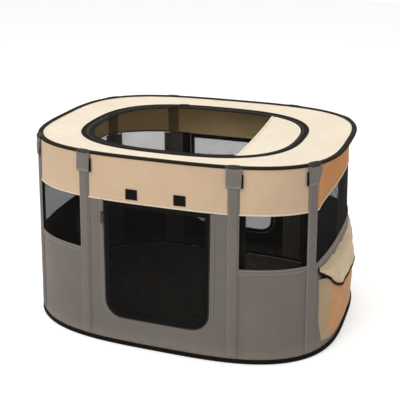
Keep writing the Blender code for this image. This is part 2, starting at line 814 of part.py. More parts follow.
def make_sliders():
    down = (0.0, 0.0, -1.0)
    beside = DOOR_WIDTH / 2 + (GAP + DOOR_ZIP) / 2
    on_right = angle_at_x(beside, DOOR_SLIDER_Z)
    for side, angle in (("front", math.pi + on_right), ("back", on_right)):
        face = wall_point(angle, DOOR_SLIDER_Z, GAP + ZIP_CLOTH + GAP)
        normal = plan_normal(angle, DOOR_SLIDER_Z)
        make_slider(f"{side}_door_slider", face, down, normal, down)
    middle = OPENING_ZIP / 2
    angle = opening_angle_at(LID_SLIDER_X, middle)
    lift = 2 * GAP + ZIP_DROP * SLIDER_WIDTH / 2 / OPENING_ZIP
    place = opening_point(angle, OPENING_Z - ZIP_DROP / 2 + CLOTH / 2 + lift, middle)
    step = 0.01
    tangent = opening_point(angle - step, 0.0, middle) - opening_point(angle + step, 0.0, middle)
    tangent /= np.linalg.norm(tangent)
    make_slider("lid_slider", place, tangent, (0.0, 0.0, 1.0), tangent)


def main():
    for old in list(bpy.data.objects):
        bpy.data.objects.remove(old, do_unlink=True)
    make_hoops()
    make_floor()
    make_band()
    make_end_walls()
    make_windows()
    make_doors()
    make_posts()
    make_tabs()
    make_top_panel()
    make_opening_zip()
    make_crescent()
    make_lid()
    make_pocket()
    make_pocket_flap()
    make_sliders()


main()
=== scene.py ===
"""Looks of a foldable fabric pet pen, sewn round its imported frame.

Lengths are metres on the frame's own axes. The wall's plan is a superellipse that spreads from the rim to the base,
drawn in flat across each end between its two posts.
Each cloth starts as a flat grid whose UV map keeps the cut size, and is then drawn on to the wall, the top or a
doorway.
"""

import math

import bpy
import numpy as np
from mathutils import Euler, Matrix, Vector, noise


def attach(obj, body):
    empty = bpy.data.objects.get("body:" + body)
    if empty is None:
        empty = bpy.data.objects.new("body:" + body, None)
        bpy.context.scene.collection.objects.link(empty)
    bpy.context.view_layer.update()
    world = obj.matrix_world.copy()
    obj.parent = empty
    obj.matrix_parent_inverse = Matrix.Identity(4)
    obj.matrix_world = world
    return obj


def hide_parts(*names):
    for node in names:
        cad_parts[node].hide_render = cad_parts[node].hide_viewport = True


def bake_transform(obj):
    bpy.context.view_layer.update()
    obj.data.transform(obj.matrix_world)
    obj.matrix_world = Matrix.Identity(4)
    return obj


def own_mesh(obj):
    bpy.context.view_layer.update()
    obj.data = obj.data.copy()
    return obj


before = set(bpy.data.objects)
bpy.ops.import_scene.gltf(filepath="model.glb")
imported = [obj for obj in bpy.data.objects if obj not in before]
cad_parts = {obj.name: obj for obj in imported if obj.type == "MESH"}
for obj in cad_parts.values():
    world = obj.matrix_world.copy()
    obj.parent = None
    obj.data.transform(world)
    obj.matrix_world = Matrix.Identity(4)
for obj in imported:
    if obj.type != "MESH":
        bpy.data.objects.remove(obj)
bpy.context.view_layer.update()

# Sizes of the frame that the cloth is cut to
TOP_LENGTH, TOP_WIDTH = 0.800, 0.615
BASE_LENGTH, BASE_WIDTH = 0.828, 0.649
HEIGHT = 0.500
CORNER_POWER = 3.19
GAP = 0.0003
# Thicknesses of the cloths, and the gap between two that are sewn side by side
CLOTH, NET_THICK = 0.0016, 0.0006
WALL_CLOTH, SOFT_CLOTH, THIN_CLOTH = 0.0012, 0.0011, 0.0008
SEAM_GAP = 0.0002
RING_OUT = -CLOTH / 2
TOP_TUBE, BASE_TUBE = 0.0038, 0.0046
TOP_RING_Z = HEIGHT - TOP_TUBE
WALL_FOOT, WALL_HEAD = 0.0077, 0.4939
BAND_EDGE, WINDOW_SILL = 0.384, 0.249
# Depth of the drawn-in ends, how much of it leans to the front, and the heights between which it runs out
END_PULL, END_SKEW, NECK_Z, SHOULDER_Z = 0.030, 0.2, 0.466, 0.4921
END_POST_Y, SIDE_POST_X = 0.216, 0.188
END_EDGE = (END_POST_Y - 0.016) / (TOP_WIDTH / 2)
SLEEVE_FOOT, SLEEVE_TOP = 0.0095, 0.469
STAY_FOOT, STAY_HALF, STAY_THICK, STAY_OUT = 0.0235, 0.0098, 0.0020, 0.0034
HOOD_HEM, HOOD_FALL, HOOD_HALF, PIPING_SIDE = 0.448, 0.0545, 0.0178, 0.0180
HOOD_BEND, HOOD_BEND_Z = 0.0060, TOP_RING_Z - 0.004
HOOK_HALF, HOOK_SHIFT = 0.0135, 0.0085
LOOP_HALF = 0.0205
DOOR_WIDTH, DOOR_SILL, DOOR_CORNER = 0.272, 0.077, 0.045
TAB_X, TAB_HALF, TAB_OUT = 0.0610, 0.0155, 0.0026
TAB_FOOT, TAB_HEAD, TAB_SEAM_Z = 0.3922, 0.4183, 0.4185
OPENING_LENGTH, OPENING_WIDTH = 0.583, 0.470
OPENING_POWER, OPENING_SHIFT = 2.67, -0.010
OPENING_Z = HEIGHT - 0.010
OPENING_ZIP, ZIP_DROP = 0.012, 0.002
OPENING_LEVEL = OPENING_Z - ZIP_DROP + CLOTH / 2
# Where the crescent's seam lies along X, and the width of the lid's edging
CRESCENT_X = 0.160
LID_EDGING = 0.0155
POCKET_FOOT, POCKET_MOUTH, POCKET_DEPTH = 0.030, 0.200, 0.0205
POCKET_ENDS, POCKET_CORNERS = (-0.190, 0.200), (-0.166, 0.178)
POCKET_SLACK_Y, POCKET_TAUT_Y = 0.045, 0.120
FLAP_Z, FLAP_DROP = 0.232, 0.0745
# Places of the sliders: beside the doorway and how high, and from the opening's middle across and along
DOOR_SLIDER_OFF, DOOR_SLIDER_Z = 0.0047, 0.348
LID_SLIDER = (0.221, 0.125)

# Spacing of a cloth's columns and rows
COLUMN, ROW = 0.007, 0.008

SIDES = (("front", -1), ("back", 1))
TURN = 2 * math.pi
UP = Vector((0, 0, 1))


def clamp(value):
    return min(1.0, max(0.0, value))


def ease(value, low, high):
    share = clamp((value - low) / (high - low))
    return share * share * (3 - 2 * share)


def steps(low, high, step):
    return list(np.linspace(low, high, max(1, round((high - low) / step)) + 1))


def stretches(start, *spans):
    """Steps through spans that follow each other, each given as its end and the spacing in it."""
    line = [start]
    for end, step in spans:
        line += steps(line[-1], end, step)[1:]
    return line


def ripple(point, size, seed=0.0):
    return noise.noise(Vector(point) / size + Vector((seed, seed * 1.7, -seed)))


def superellipse(turn, half_x, half_y, power):
    c, s = math.cos(turn), math.sin(turn)
    size = (abs(c / half_x) ** power + abs(s / half_y) ** power) ** (-1 / power)
    return c * size, s * size


def run_along(points):
    return np.concatenate([[0.0], np.cumsum(np.linalg.norm(np.diff(points, axis=0), axis=1))])


# Places on the wall

def half_sizes(z):
    ends = ((BASE_LENGTH, TOP_LENGTH), (BASE_WIDTH, TOP_WIDTH))
    return [(base + (top - base) * (z / HEIGHT)) / 2 for base, top in ends]


def end_pull(share, z):
    """How far the wall of an end lies inside the plan outline, drawn flat between the end posts."""
    across = share[1] / END_EDGE
    if abs(across) >= 1:
        return 0.0
    rise = clamp((z - WALL_FOOT) / (BAND_EDGE - WALL_FOOT))
    neck = clamp((SHOULDER_Z - z) / (SHOULDER_Z - NECK_Z))
    return END_PULL * (1 - END_SKEW * across) * (1 - across**4) * rise * neck**0.8


def normal_at(share, z):
    """Outward normal of the wall at a place given as shares of the plan's half sizes."""
    nx, ny = (math.copysign(abs(s) ** (CORNER_POWER - 1), s) / half for s, half in zip(share, half_sizes(z)))
    flat = clamp(5 * (1 - abs(share[1]) / END_EDGE)) * clamp(z / BAND_EDGE)
    return Vector((nx, ny * (1 - flat), 0)).normalized()


def outline(share, z):
    """Point on the plan's outline, before the ends are drawn in."""
    half_x, half_y = half_sizes(z)
    return Vector((share[0] * half_x, share[1] * half_y, z))


def wall(share, z, out=0.0):
    point = outline(share, z)
    point.x -= math.copysign(end_pull(share, z), point.x)
    return point + normal_at(share, z) * out


def share_at(turn):
    """Shares of the half sizes, on the outline, in a direction of the plan."""
    return superellipse(turn, 1, 1, CORNER_POWER)


TURNS = np.linspace(0, TURN, 2881)
MIDDLE = np.array([outline(share_at(turn), HEIGHT / 2) for turn in TURNS])
RUN = run_along(MIDDLE)
AROUND = float(RUN[-1])


def share_run(run):
    """Shares at a distance along the wall, measured at half height anticlockwise from the middle of the right end."""
    return share_at(float(np.interp(run % AROUND, RUN, TURNS)))


def front_share(x, z, side):
    """Shares at a place along X, on the front wall or, for side 1, the back one."""
    share = x / half_sizes(z)[0]
    return share, side * (1 - abs(share) ** CORNER_POWER) ** (1 / CORNER_POWER)


def front(x, z, out, side):
    return wall(front_share(x, z, side), z, out)


def front_normal(x, z, side):
    return (front(x, z, 1.0, side) - front(x, z, 0.0, side)).normalized()


QUARTER = np.array([[*share_at(turn), run] for turn, run in zip(TURNS[:721], RUN[:721])])


def end_run(y):
    """Distance along the wall of a place on the right end, given by its place across the rim."""
    return math.copysign(float(np.interp(abs(y) / TOP_WIDTH * 2, QUARTER[:, 1], QUARTER[:, 2])), y)


END_RUN = end_run(END_POST_Y)
SIDE_RUN = float(np.interp(-SIDE_POST_X / TOP_LENGTH * 2, -QUARTER[:, 0], QUARTER[:, 2]))

POSTS = {
    "back_end_right": END_RUN,
    "back_side_right": SIDE_RUN,
    "back_side_left": AROUND / 2 - SIDE_RUN,
    "back_end_left": AROUND / 2 - END_RUN,
    "front_end_left": AROUND / 2 + END_RUN,
    "front_side_left": AROUND / 2 + SIDE_RUN,
    "front_side_right": AROUND - SIDE_RUN,
    "front_end_right": AROUND - END_RUN,
}


def off_posts(run):
    """0 under a sleeve, 1 well clear of every post."""
    gap = min(abs((run - post + AROUND / 2) % AROUND - AROUND / 2) for post in POSTS.values())
    return ease(gap, 0.017, 0.060)


# Places on the top

def opening(turn, inset=0.0):
    x, y = superellipse(turn, OPENING_LENGTH / 2 - inset, OPENING_WIDTH / 2 - inset, OPENING_POWER)
    return OPENING_SHIFT + x, y


def opening_half(x, inset):
    """Half the opening's width at a place along X."""
    share = abs(x - OPENING_SHIFT) / (OPENING_LENGTH / 2 - inset)
    return (OPENING_WIDTH / 2 - inset) * max(0.0, 1 - share**OPENING_POWER) ** (1 / OPENING_POWER)


def even_turns(start, end, count, inset=0.0):
    """Directions of the opening that divide its edge evenly."""
    fine = np.linspace(start, end, 1200)
    run = run_along(np.array([opening(turn, inset) for turn in fine]))
    return [float(turn) for turn in np.interp(np.linspace(0, run[-1], count + 1), run, fine)], float(run[-1])


PANEL_TURNS, OPENING_RUN = even_turns(0, TURN, 360)
ARC_RUNS = [OPENING_RUN * k / (len(PANEL_TURNS) - 1) for k in range(len(PANEL_TURNS))]


def round_opening(distance, inset, lift):
    """Point on a strip laid round the opening: distance along its edge, then inwards."""
    x, y = opening(float(np.interp(distance % OPENING_RUN, ARC_RUNS, PANEL_TURNS)), inset)
    return Vector((x, y, OPENING_Z + CLOTH / 2 - ZIP_DROP * clamp(inset / OPENING_ZIP) + lift))


def seam_bow(share):
    """How far the hand-sewn seam of lid and crescent strays from its straight line."""
    return 0.004 * (1 - share**2) - 0.006 * share


# Modelling

def only(*pieces):
    bpy.ops.object.select_all(action="DESELECT")
    for piece in pieces:
        piece.select_set(True)
    if pieces:
        bpy.context.view_layer.objects.active = pieces[0]


def finish_modifier(piece, kind, **settings):
    only(piece)
    modifier = piece.modifiers.new(kind.lower(), kind)
    for name, value in settings.items():
        setattr(modifier, name, value)
    bpy.ops.object.modifier_apply(modifier=modifier.name)


def edit(piece, *operations, action="SELECT"):
    """Mesh operations in edit mode, on all of a piece, on what they select, or with no action on what is selected."""
    only(piece)
    bpy.ops.object.mode_set(mode="EDIT")
    if action:
        bpy.ops.mesh.select_all(action=action)
    for operation in operations:
        operation()
    bpy.ops.object.mode_set(mode="OBJECT")


def face_out():
    bpy.ops.mesh.normals_make_consistent(inside=False)


def merge():
    bpy.ops.mesh.remove_doubles(threshold=1e-5)


def close_ends(piece):
    """Caps the open ends of a tube."""
    edit(piece, bpy.ops.mesh.select_non_manifold, bpy.ops.mesh.edge_face_add, action="DESELECT")
    edit(piece, face_out)


def smooth(piece, degrees=40):
    only(piece)
    bpy.ops.object.shade_smooth_by_angle(angle=math.radians(degrees))


def block(size, spot=(0, 0, 0)):
    only()
    bpy.ops.mesh.primitive_cube_add(size=1, location=spot)
    piece = bpy.context.object
    piece.scale = size
    bpy.ops.object.transform_apply(location=True, rotation=True, scale=True)
    return piece


def cloth(name, across, up, place, finishes, thick=0.0, closed=False, degrees=40, second_where=None):
    """Flat grid with a column at each of across and a row at each of up, drawn to place(a, b).

    Its UV map keeps the flat grid. Finishes are the outer and inner cloth; where second_where(a, b) holds, the
    outer cloth is the third finish.
    """
    only()
    columns, rows = len(across) - 1, len(up) - 1
    bpy.ops.mesh.primitive_grid_add(x_subdivisions=columns, y_subdivisions=rows, size=1)
    piece = bpy.context.object
    piece.name = name
    mesh = piece.data
    for corner in mesh.uv_layers.active.data:
        corner.uv = (across[round(corner.uv[0] * columns)], up[round(corner.uv[1] * rows)])
    for vert in mesh.vertices:
        vert.co = place(across[round((vert.co.x + 0.5) * columns)], up[round((vert.co.y + 0.5) * rows)])
    if closed:
        edit(piece, merge)
    for finish in finishes:
        mesh.materials.append(finish)
    if second_where:
        mesh.materials.append(finishes[1])
        corners = mesh.uv_layers.active.data
        for face in mesh.polygons:
            spots = [corners[k].uv for k in face.loop_indices]
            if second_where(*(sum(spot[k] for spot in spots) / len(spots) for k in (0, 1))):
                face.material_index = 2
    if thick:
        finish_modifier(piece, "SOLIDIFY", thickness=thick, offset=-1, material_offset=1, material_offset_rim=0)
    smooth(piece, degrees)
    return piece


def tube(name, stations, corners, place, finish, degrees=40, ends=False):
    """Closed cover of tape, drawn to place(station, corner), its ends capped or left open."""
    piece = cloth(name, stations, corners, place, (finish,), closed=True, degrees=degrees)
    edit(piece, merge, face_out)
    if ends:
        close_ends(piece)
    return piece


def strip(name, stations, profile, place, finishes, thick, closed=False):
    """Tape laid along a line. The profile gives how far out it lies at each place across it."""
    return cloth(name, stations, list(profile), lambda d, b: place(d, b, profile[b]), finishes, thick, closed)


def track(points, normals):
    """Line that strips are laid along: place(distance, across, out), across to the left of its travel."""
    lengths = [0.0]
    for a, b in zip(points, points[1:]):
        lengths.append(lengths[-1] + (b - a).length)
    ahead = [points[min(i + 1, len(points) - 1)] - points[max(i - 1, 0)] for i in range(len(points))]
    side = [n.cross(t).normalized() for n, t in zip(normals, ahead)]
    table = np.array([[*p, *s, *n] for p, s, n in zip(points, side, normals)])

    def place(distance, across, out):
        row = [float(np.interp(distance, lengths, table[:, k])) for k in range(9)]
        return Vector(row[:3]) + Vector(row[3:6]).normalized() * across + Vector(row[6:]).normalized() * out

    return place, lengths[-1]


def ride(piece, body, slot, *nodes, folds=True):
    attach(piece, body)
    if nodes:
        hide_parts(*nodes)
    if folds:
        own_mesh(piece)


# Node groups

def new_group(name, inputs, outputs):
    """Node group with an input for each label of inputs, a vector where it has no value, and outputs of a number."""
    tree = bpy.data.node_groups.new(name, "ShaderNodeTree")
    for label, value in inputs.items():
        kind = "Vector" if value is None else "Float"
        socket = tree.interface.new_socket(label, in_out="INPUT", socket_type=f"NodeSocket{kind}")
        if value is not None:
            socket.default_value = value
    for label in outputs:
        tree.interface.new_socket(label, in_out="OUTPUT", socket_type="NodeSocketFloat")
    return tree, tree.nodes.new("NodeGroupInput").outputs, tree.nodes.new("NodeGroupOutput")


def feed(tree, socket, value):
    if isinstance(value, bpy.types.NodeSocket):
        tree.links.new(value, socket)
    elif value is not None:
        socket.default_value = value


def give(tree, node, **values):
    """Feeds a node's inputs, each named by its label with _ for a space."""
    for label, value in values.items():
        feed(tree, node.inputs[label.replace("_", " ")], value)


def calc(tree, operation, *values, clamped=False):
    node = tree.nodes.new("ShaderNodeMath")
    node.operation = operation
    node.use_clamp = clamped
    for socket, value in zip(node.inputs, values):
        feed(tree, socket, value)
    return node.outputs[0]


def times(tree, value, factor, plus=None):
    return calc(tree, "MULTIPLY" if plus is None else "MULTIPLY_ADD", value, factor, plus)


def blended(tree, share, first, second):
    """Mix of two colours, each a socket or three numbers."""
    node = tree.nodes.new("ShaderNodeMix")
    node.data_type = "RGBA"
    feed(tree, node.inputs[0], share)
    for socket, colour in ((node.inputs[6], first), (node.inputs[7], second)):
        feed(tree, socket, (*colour, 1) if isinstance(colour, tuple) else colour)
    return node.outputs[2]


def toned(colour, factor, plus=0.0):
    return tuple(min(1.0, value * factor + plus) for value in colour)


def fall(tree, value, low, high):
    """Smooth step from 0 at low to 1 at high."""
    node = tree.nodes.new("ShaderNodeMapRange")
    node.interpolation_type = "SMOOTHSTEP"
    for socket, given in zip(node.inputs, (value, low, high)):
        feed(tree, socket, given)
    return node.outputs[0]


def noisy(tree, vector, scale, detail=3.0):
    node = tree.nodes.new("ShaderNodeTexNoise")
    give(tree, node, Vector=vector, Scale=scale, Detail=detail)
    return node.outputs["Fac"]


def apart(tree, vector):
    node = tree.nodes.new("ShaderNodeSeparateXYZ")
    feed(tree, node.inputs[0], vector)
    return node.outputs


def weave_group():
    """Plain weave: threads over and under each other."""
    tree, given, out = new_group("plain_weave", {"Cloth": None, "Threads per metre": 800.0}, ("Height",))
    x, y, _ = apart(tree, given["Cloth"])
    turn = times(tree, given["Threads per metre"], math.pi)
    over, under = (calc(tree, "SINE", times(tree, way, turn)) for way in (x, y))
    give(tree, out, Height=times(tree, times(tree, over, under), 0.5, 0.5))
    return tree


def wear_group():
    """Uneven dye, rubbed patches and the dust that a pen gathers near the ground."""
    outputs = ("Dye", "Rubbed", "Dust", "Crumple")
    tree, given, out = new_group("cloth_wear", {"Place": None, "Dust height": 0.05}, outputs)
    place = given["Place"]
    low = fall(tree, apart(tree, place)[2], given["Dust height"], 0.0)
    give(
        tree, out, Dye=noisy(tree, place, 9.0, 4.0), Rubbed=fall(tree, noisy(tree, place, 38.0, 5.0), 0.52, 0.78),
        Dust=times(tree, low, noisy(tree, place, 60.0)), Crumple=noisy(tree, place, 24.0, 2.0),
    )
    return tree


def stitch_group():
    """Row of stitches along a line of the cloth."""
    inputs = {"Along": 0.0, "Across": 0.0, "Row": 0.0, "Length": 0.004, "Width": 0.0009}
    tree, given, out = new_group("stitch_row", inputs, ("Thread", "Pucker"))
    width = given["Width"]
    off = calc(tree, "ABSOLUTE", calc(tree, "SUBTRACT", given["Across"], given["Row"]))
    share = calc(tree, "FRACT", calc(tree, "DIVIDE", given["Along"], given["Length"]))
    dash = fall(tree, calc(tree, "ABSOLUTE", calc(tree, "SUBTRACT", share, 0.5)), 0.42, 0.34)
    near = fall(tree, off, width, times(tree, width, 0.45))
    give(tree, out, Thread=times(tree, dash, near), Pucker=fall(tree, off, times(tree, width, 4.0), 0.0))
    return tree


def mesh_group():
    """Knitted net: round holes in staggered rows."""
    inputs = {"Cloth": None, "Pitch": 0.0016, "Openness": -0.9}
    tree, given, out = new_group("knitted_net", inputs, ("Thread", "Height"))
    x, y, _ = apart(tree, given["Cloth"])
    turn = calc(tree, "DIVIDE", TURN, given["Pitch"])
    x, y = times(tree, x, turn), times(tree, y, turn)
    slant = 1 / math.sqrt(3)
    waves = [calc(tree, "COSINE", times(tree, y, 2 * slant))]
    waves += [calc(tree, "COSINE", times(tree, y, sign * slant, x)) for sign in (1, -1)]
    total = calc(tree, "ADD", calc(tree, "ADD", waves[0], waves[1]), waves[2])
    edge = calc(tree, "ADD", given["Openness"], 0.16)
    give(tree, out, Thread=fall(tree, total, edge, given["Openness"]), Height=fall(tree, total, edge, -1.5))
    return tree


WEAVE, WEAR, STITCH, NET_HOLES = weave_group(), wear_group(), stitch_group(), mesh_group()


# Materials

def place_group(tree, group, **values):
    node = tree.nodes.new("ShaderNodeGroup")
    node.node_tree = group
    give(tree, node, **values)
    return node.outputs


def bump(tree, height, depth):
    node = tree.nodes.new("ShaderNodeBump")
    give(tree, node, Distance=depth, Strength=1.0, Height=height)
    return node.outputs[0]


def start_material(name, roughness, sheen=0.0, metallic=0.0, gloss=0.3):
    made = bpy.data.materials.new(name)
    made.use_nodes = True
    tree = made.node_tree
    shader = tree.nodes["Principled BSDF"]
    give(tree, shader, Roughness=roughness, Metallic=metallic, Sheen_Weight=sheen, Specular_IOR_Level=gloss)
    coordinates = tree.nodes.new("ShaderNodeTexCoord")
    return made, tree, shader, coordinates.outputs["UV"], coordinates.outputs["Object"]


def woven(name, colour, second, threads=700.0, rows=(), turned=False, thread=None, roughness=0.82, sheen=0.12,
          weave_depth=0.00012, crumple=0.0016, dust=0.05, gloss=0.3):
    """Woven cloth of two close dyes, with rows of stitches along or, turned, up the cloth."""
    made, tree, shader, cut, place = start_material(name, roughness, sheen, gloss=gloss)
    wear = place_group(tree, WEAR, Place=place, Dust_height=dust)
    weave = place_group(tree, WEAVE, Cloth=cut, Threads_per_metre=threads)["Height"]
    pale = toned(colour, 1.20, 0.001)
    base = blended(tree, fall(tree, wear["Dye"], 0.32, 0.68), colour, second)
    for share, strength, tone in (
        (wear["Rubbed"], 0.35, pale), (wear["Dust"], 0.5, DUST), (weave, 0.10, toned(colour, 0.55)),
    ):
        base = blended(tree, times(tree, share, strength), base, tone)
    height = calc(tree, "ADD", times(tree, weave, weave_depth / crumple), wear["Crumple"])
    x, y, _ = apart(tree, cut)
    along, across = (y, x) if turned else (x, y)
    for row in rows:
        stitches = place_group(tree, STITCH, Along=along, Across=across, Row=row)
        base = blended(tree, stitches["Thread"], base, thread or pale)
        height = times(tree, stitches["Pucker"], -0.22, height)
        height = times(tree, stitches["Thread"], 0.16, height)
    rough = times(tree, wear["Dye"], 0.16, roughness - 0.08)
    give(tree, shader, Base_Color=base, Roughness=rough, Normal=bump(tree, height, crumple))
    return made


def netting(name, openness, pitch=0.0016, cover=1.0):
    made, tree, shader, cut, place = start_material(name, 0.8, gloss=0.06)
    holes = place_group(tree, NET_HOLES, Cloth=cut, Pitch=pitch, Openness=openness)
    wear = place_group(tree, WEAR, Place=place)
    base = blended(tree, wear["Dye"], NET_DYE, toned(NET_DYE, 1.8))
    alpha = times(tree, holes["Thread"], cover)
    give(tree, shader, Base_Color=base, Alpha=alpha, Normal=bump(tree, holes["Height"], 0.0003))
    return made


def ribbed(name, colour, second, ribs=420.0, rows=()):
    """Tape with fine ribs across it."""
    roughness = 0.75
    made, tree, shader, cut, place = start_material(name, roughness, gloss=0.06)
    wear = place_group(tree, WEAR, Place=place, Dust_height=0.02)
    x, y, _ = apart(tree, cut)
    rib = times(tree, calc(tree, "SINE", times(tree, x, ribs * TURN)), 0.5, 0.5)
    base = blended(tree, fall(tree, wear["Dye"], 0.3, 0.7), colour, second)
    base = blended(tree, times(tree, rib, 0.25), base, toned(colour, 0.4))
    base = blended(tree, times(tree, wear["Rubbed"], 0.3), base, toned(colour, 1.8, 0.002))
    height = times(tree, rib, 0.4, wear["Crumple"])
    for row in rows:
        stitches = place_group(tree, STITCH, Along=x, Across=y, Row=row, Length=0.0035)
        base = blended(tree, stitches["Thread"], base, toned(colour, 2.0, 0.004))
        height = times(tree, stitches["Pucker"], -0.4, height)
    rough = times(tree, wear["Dye"], 0.2, roughness - 0.1)
    give(tree, shader, Base_Color=base, Roughness=rough, Normal=bump(tree, height, 0.0005))
    return made


def hard(name, colour, second, roughness, metallic=0.0, scale=120.0, stretch=(1, 1, 1)):
    """Metal, moulded plastic or drawn fibre: fine grain, scuffs and uneven gloss."""
    made, tree, shader, _, place = start_material(name, roughness, metallic=metallic, gloss=0.5)
    mapping = tree.nodes.new("ShaderNodeMapping")
    give(tree, mapping, Scale=stretch, Vector=place)
    grain = noisy(tree, mapping.outputs[0], scale, 6.0)
    wear = place_group(tree, WEAR, Place=place, Dust_height=0.01)
    base = blended(tree, fall(tree, grain, 0.35, 0.65), colour, second)
    rough = times(tree, wear["Rubbed"], 0.25, roughness - 0.05)
    give(tree, shader, Base_Color=base, Roughness=rough, Normal=bump(tree, grain, 0.00008))
    return made


DUST = (0.42, 0.37, 0.31)
GREY_DYES = (0.154, 0.135, 0.119), (0.174, 0.150, 0.132)
NET_DYE = (0.0050, 0.0046, 0.0042)
BAND = dict(rows=(BAND_EDGE + 0.0105,), dust=0.01)
DARK = dict(roughness=0.75, sheen=0.0, gloss=0.06)

CREAM = woven("cream_cloth", (0.770, 0.672, 0.528), (0.810, 0.712, 0.570), threads=900.0, sheen=0.03)
TAN = woven("tan_cloth", (0.595, 0.430, 0.288), (0.635, 0.460, 0.302), **BAND)
# Painted shade: a darker, more orange copy of the tan cloth for the band's two ends, standing in for the dim warm
# light there
TAN_END_PAINTED_SHADE = woven("tan_cloth_end_painted_shade", (0.51, 0.190, 0.024), (0.55, 0.222, 0.044), **BAND)
# Painted light: the band's inside is a lighter, more orange copy of the tan cloth, standing in for light that the
# inside of the pen does not get
TAN_INSIDE_PAINTED_LIGHT = woven("tan_cloth_inside_painted_light", (0.88, 0.64, 0.31), (0.82, 0.59, 0.28), dust=0.01)
HEM = woven(
    "band_hem", (0.70, 0.585, 0.46), (0.74, 0.625, 0.50), rows=(BAND_EDGE,), thread=(0.9, 0.82, 0.7), dust=0.01
)
GREY = woven("grey_cloth", *GREY_DYES, rows=(WINDOW_SILL - 0.0115, WINDOW_SILL - 0.003), thread=(0.30, 0.28, 0.26))
GREY_PLAIN = woven("grey_door_wall", *GREY_DYES)
GUARD = woven("zip_guard", *GREY_DYES, rows=(-0.0098,), thread=(0.24, 0.22, 0.20))
SLEEVE = woven(
    "grey_sleeve", (0.164, 0.141, 0.127), (0.182, 0.154, 0.139), rows=(-0.0122, 0.0122), turned=True,
    thread=(0.24, 0.22, 0.21),
)
HOOD = woven(
    "grey_hood", (0.165, 0.150, 0.136), (0.188, 0.170, 0.154), rows=(0.0025, 0.0055), thread=(0.34, 0.32, 0.30)
)
LINING = woven("black_lining", (0.0070, 0.0058, 0.0045), (0.0110, 0.0092, 0.0075), thread=(0.012,) * 3, **DARK)
# Partly painted light: the inner seam tape is black, and is given a lighter grey here to stand in for the haze of
# light inside the pen
SEAM_TAPE_PAINTED_LIGHT = woven("inner_seam_tape_painted_light", (0.135, 0.120, 0.104), (0.155, 0.138, 0.120), thread=(0.17,) * 3, **DARK)
# Painted shade: a darker tan strip inside the band where the sleeve outside shades the thin cloth; no tape is there
BAND_PAINTED_SHADE = woven("band_inner_painted_shade", (0.30, 0.215, 0.125), (0.26, 0.185, 0.105), dust=0.01, crumple=0.002)
FLOOR = woven("floor_cloth", (0.0100, 0.0088, 0.0075), (0.0150, 0.0135, 0.0115), **DARK)
POCKET = woven(
    "pocket_cloth", (0.53, 0.245, 0.082), (0.59, 0.295, 0.110), rows=(POCKET_MOUTH - 0.011,), crumple=0.004
)
GUSSET = woven("pocket_gusset", (0.41, 0.295, 0.174), (0.46, 0.340, 0.208), crumple=0.004)
FLAP = woven(
    "flap_cloth", (0.70, 0.545, 0.355), (0.62, 0.480, 0.305), rows=(-0.0205, 0.003 - FLAP_DROP), crumple=0.005
)
FLAP_INSIDE = woven("flap_lining", (0.34, 0.27, 0.19), (0.30, 0.24, 0.165), crumple=0.005)
PATCH = woven(
    "rim_patch", (0.060, 0.056, 0.048), (0.038, 0.034, 0.029), rows=(-0.018, 0.018), turned=True, crumple=0.003,
    thread=(0.05,) * 3, **DARK,
)
HOOKS = woven(
    "hook_tape", (0.0060, 0.0050, 0.0045), (0.0100, 0.0090, 0.0080), threads=1100.0, weave_depth=0.0004, **DARK
)
BINDING = ribbed("binding_tape", (0.016, 0.0115, 0.0075), (0.026, 0.0195, 0.0135), rows=(0.0035,))
HEM_TAPE = ribbed("hem_tape", (0.0065, 0.0044, 0.0028), (0.0110, 0.0080, 0.0055), rows=(0.0035,))
EDGING = ribbed("net_edging", (0.0060, 0.0052, 0.0044), (0.0100, 0.0090, 0.0080), rows=(0.0022,))
ZIP_TAPE = ribbed("zip_tape", (0.0060, 0.0041, 0.0026), (0.0100, 0.0072, 0.0050), ribs=700.0, rows=(0.0072,))
PIPING = ribbed("grey_piping", (0.23, 0.22, 0.20), (0.28, 0.265, 0.245), ribs=900.0)
COIL = hard("zip_coil", (0.006, 0.005, 0.004), (0.012, 0.010, 0.009), 0.62)
NET = netting("window_net", -0.86)
LID_NET = netting("lid_net", -1.05, cover=0.55)
DOOR_NET = netting("door_net", -0.20, pitch=0.0011)
STEEL = hard("spring_steel", (0.52, 0.52, 0.53), (0.44, 0.44, 0.46), 0.34, 1.0, scale=60.0)
FIBRE = hard("stay_fibre", (0.72, 0.70, 0.62), (0.62, 0.60, 0.52), 0.42, scale=160.0, stretch=(6, 6, 0.2))
SLIDER = hard("black_slider", (0.030, 0.030, 0.032), (0.055, 0.053, 0.052), 0.38, 0.7, scale=260.0)


# Walls

def billow(run, z, low, high, depth):
    """How far taut cloth stands out between its seams, and the small ripples in it."""
    share = math.sin(math.pi * clamp((z - low) / (high - low)))
    place = wall(share_run(run), z)
    return off_posts(run) * share * depth * (0.65 + 0.9 * ripple(place, 0.16, 3.0) + 0.45 * ripple(place, 0.045, 8.0))


def pucker(run, z, edge, reach, depth):
    """Gathers that a seam leaves in the cloth beside it."""
    near = math.exp(-abs(z - edge) / reach)
    wave = math.sin(run / 0.011 + 2.2 * ripple((run, 0, edge), 0.05, 5.0))
    return depth * near * wave * (0.6 + 0.6 * ripple((run, edge, 0), 0.08, 1.0))


def wall_rows(low, high, *edges):
    rows = steps(low, high, ROW)
    for edge in edges:
        rows += [edge - 0.0008, edge + 0.0008]
    return sorted(rows)


ALL_ROUND = steps(0, AROUND, COLUMN)


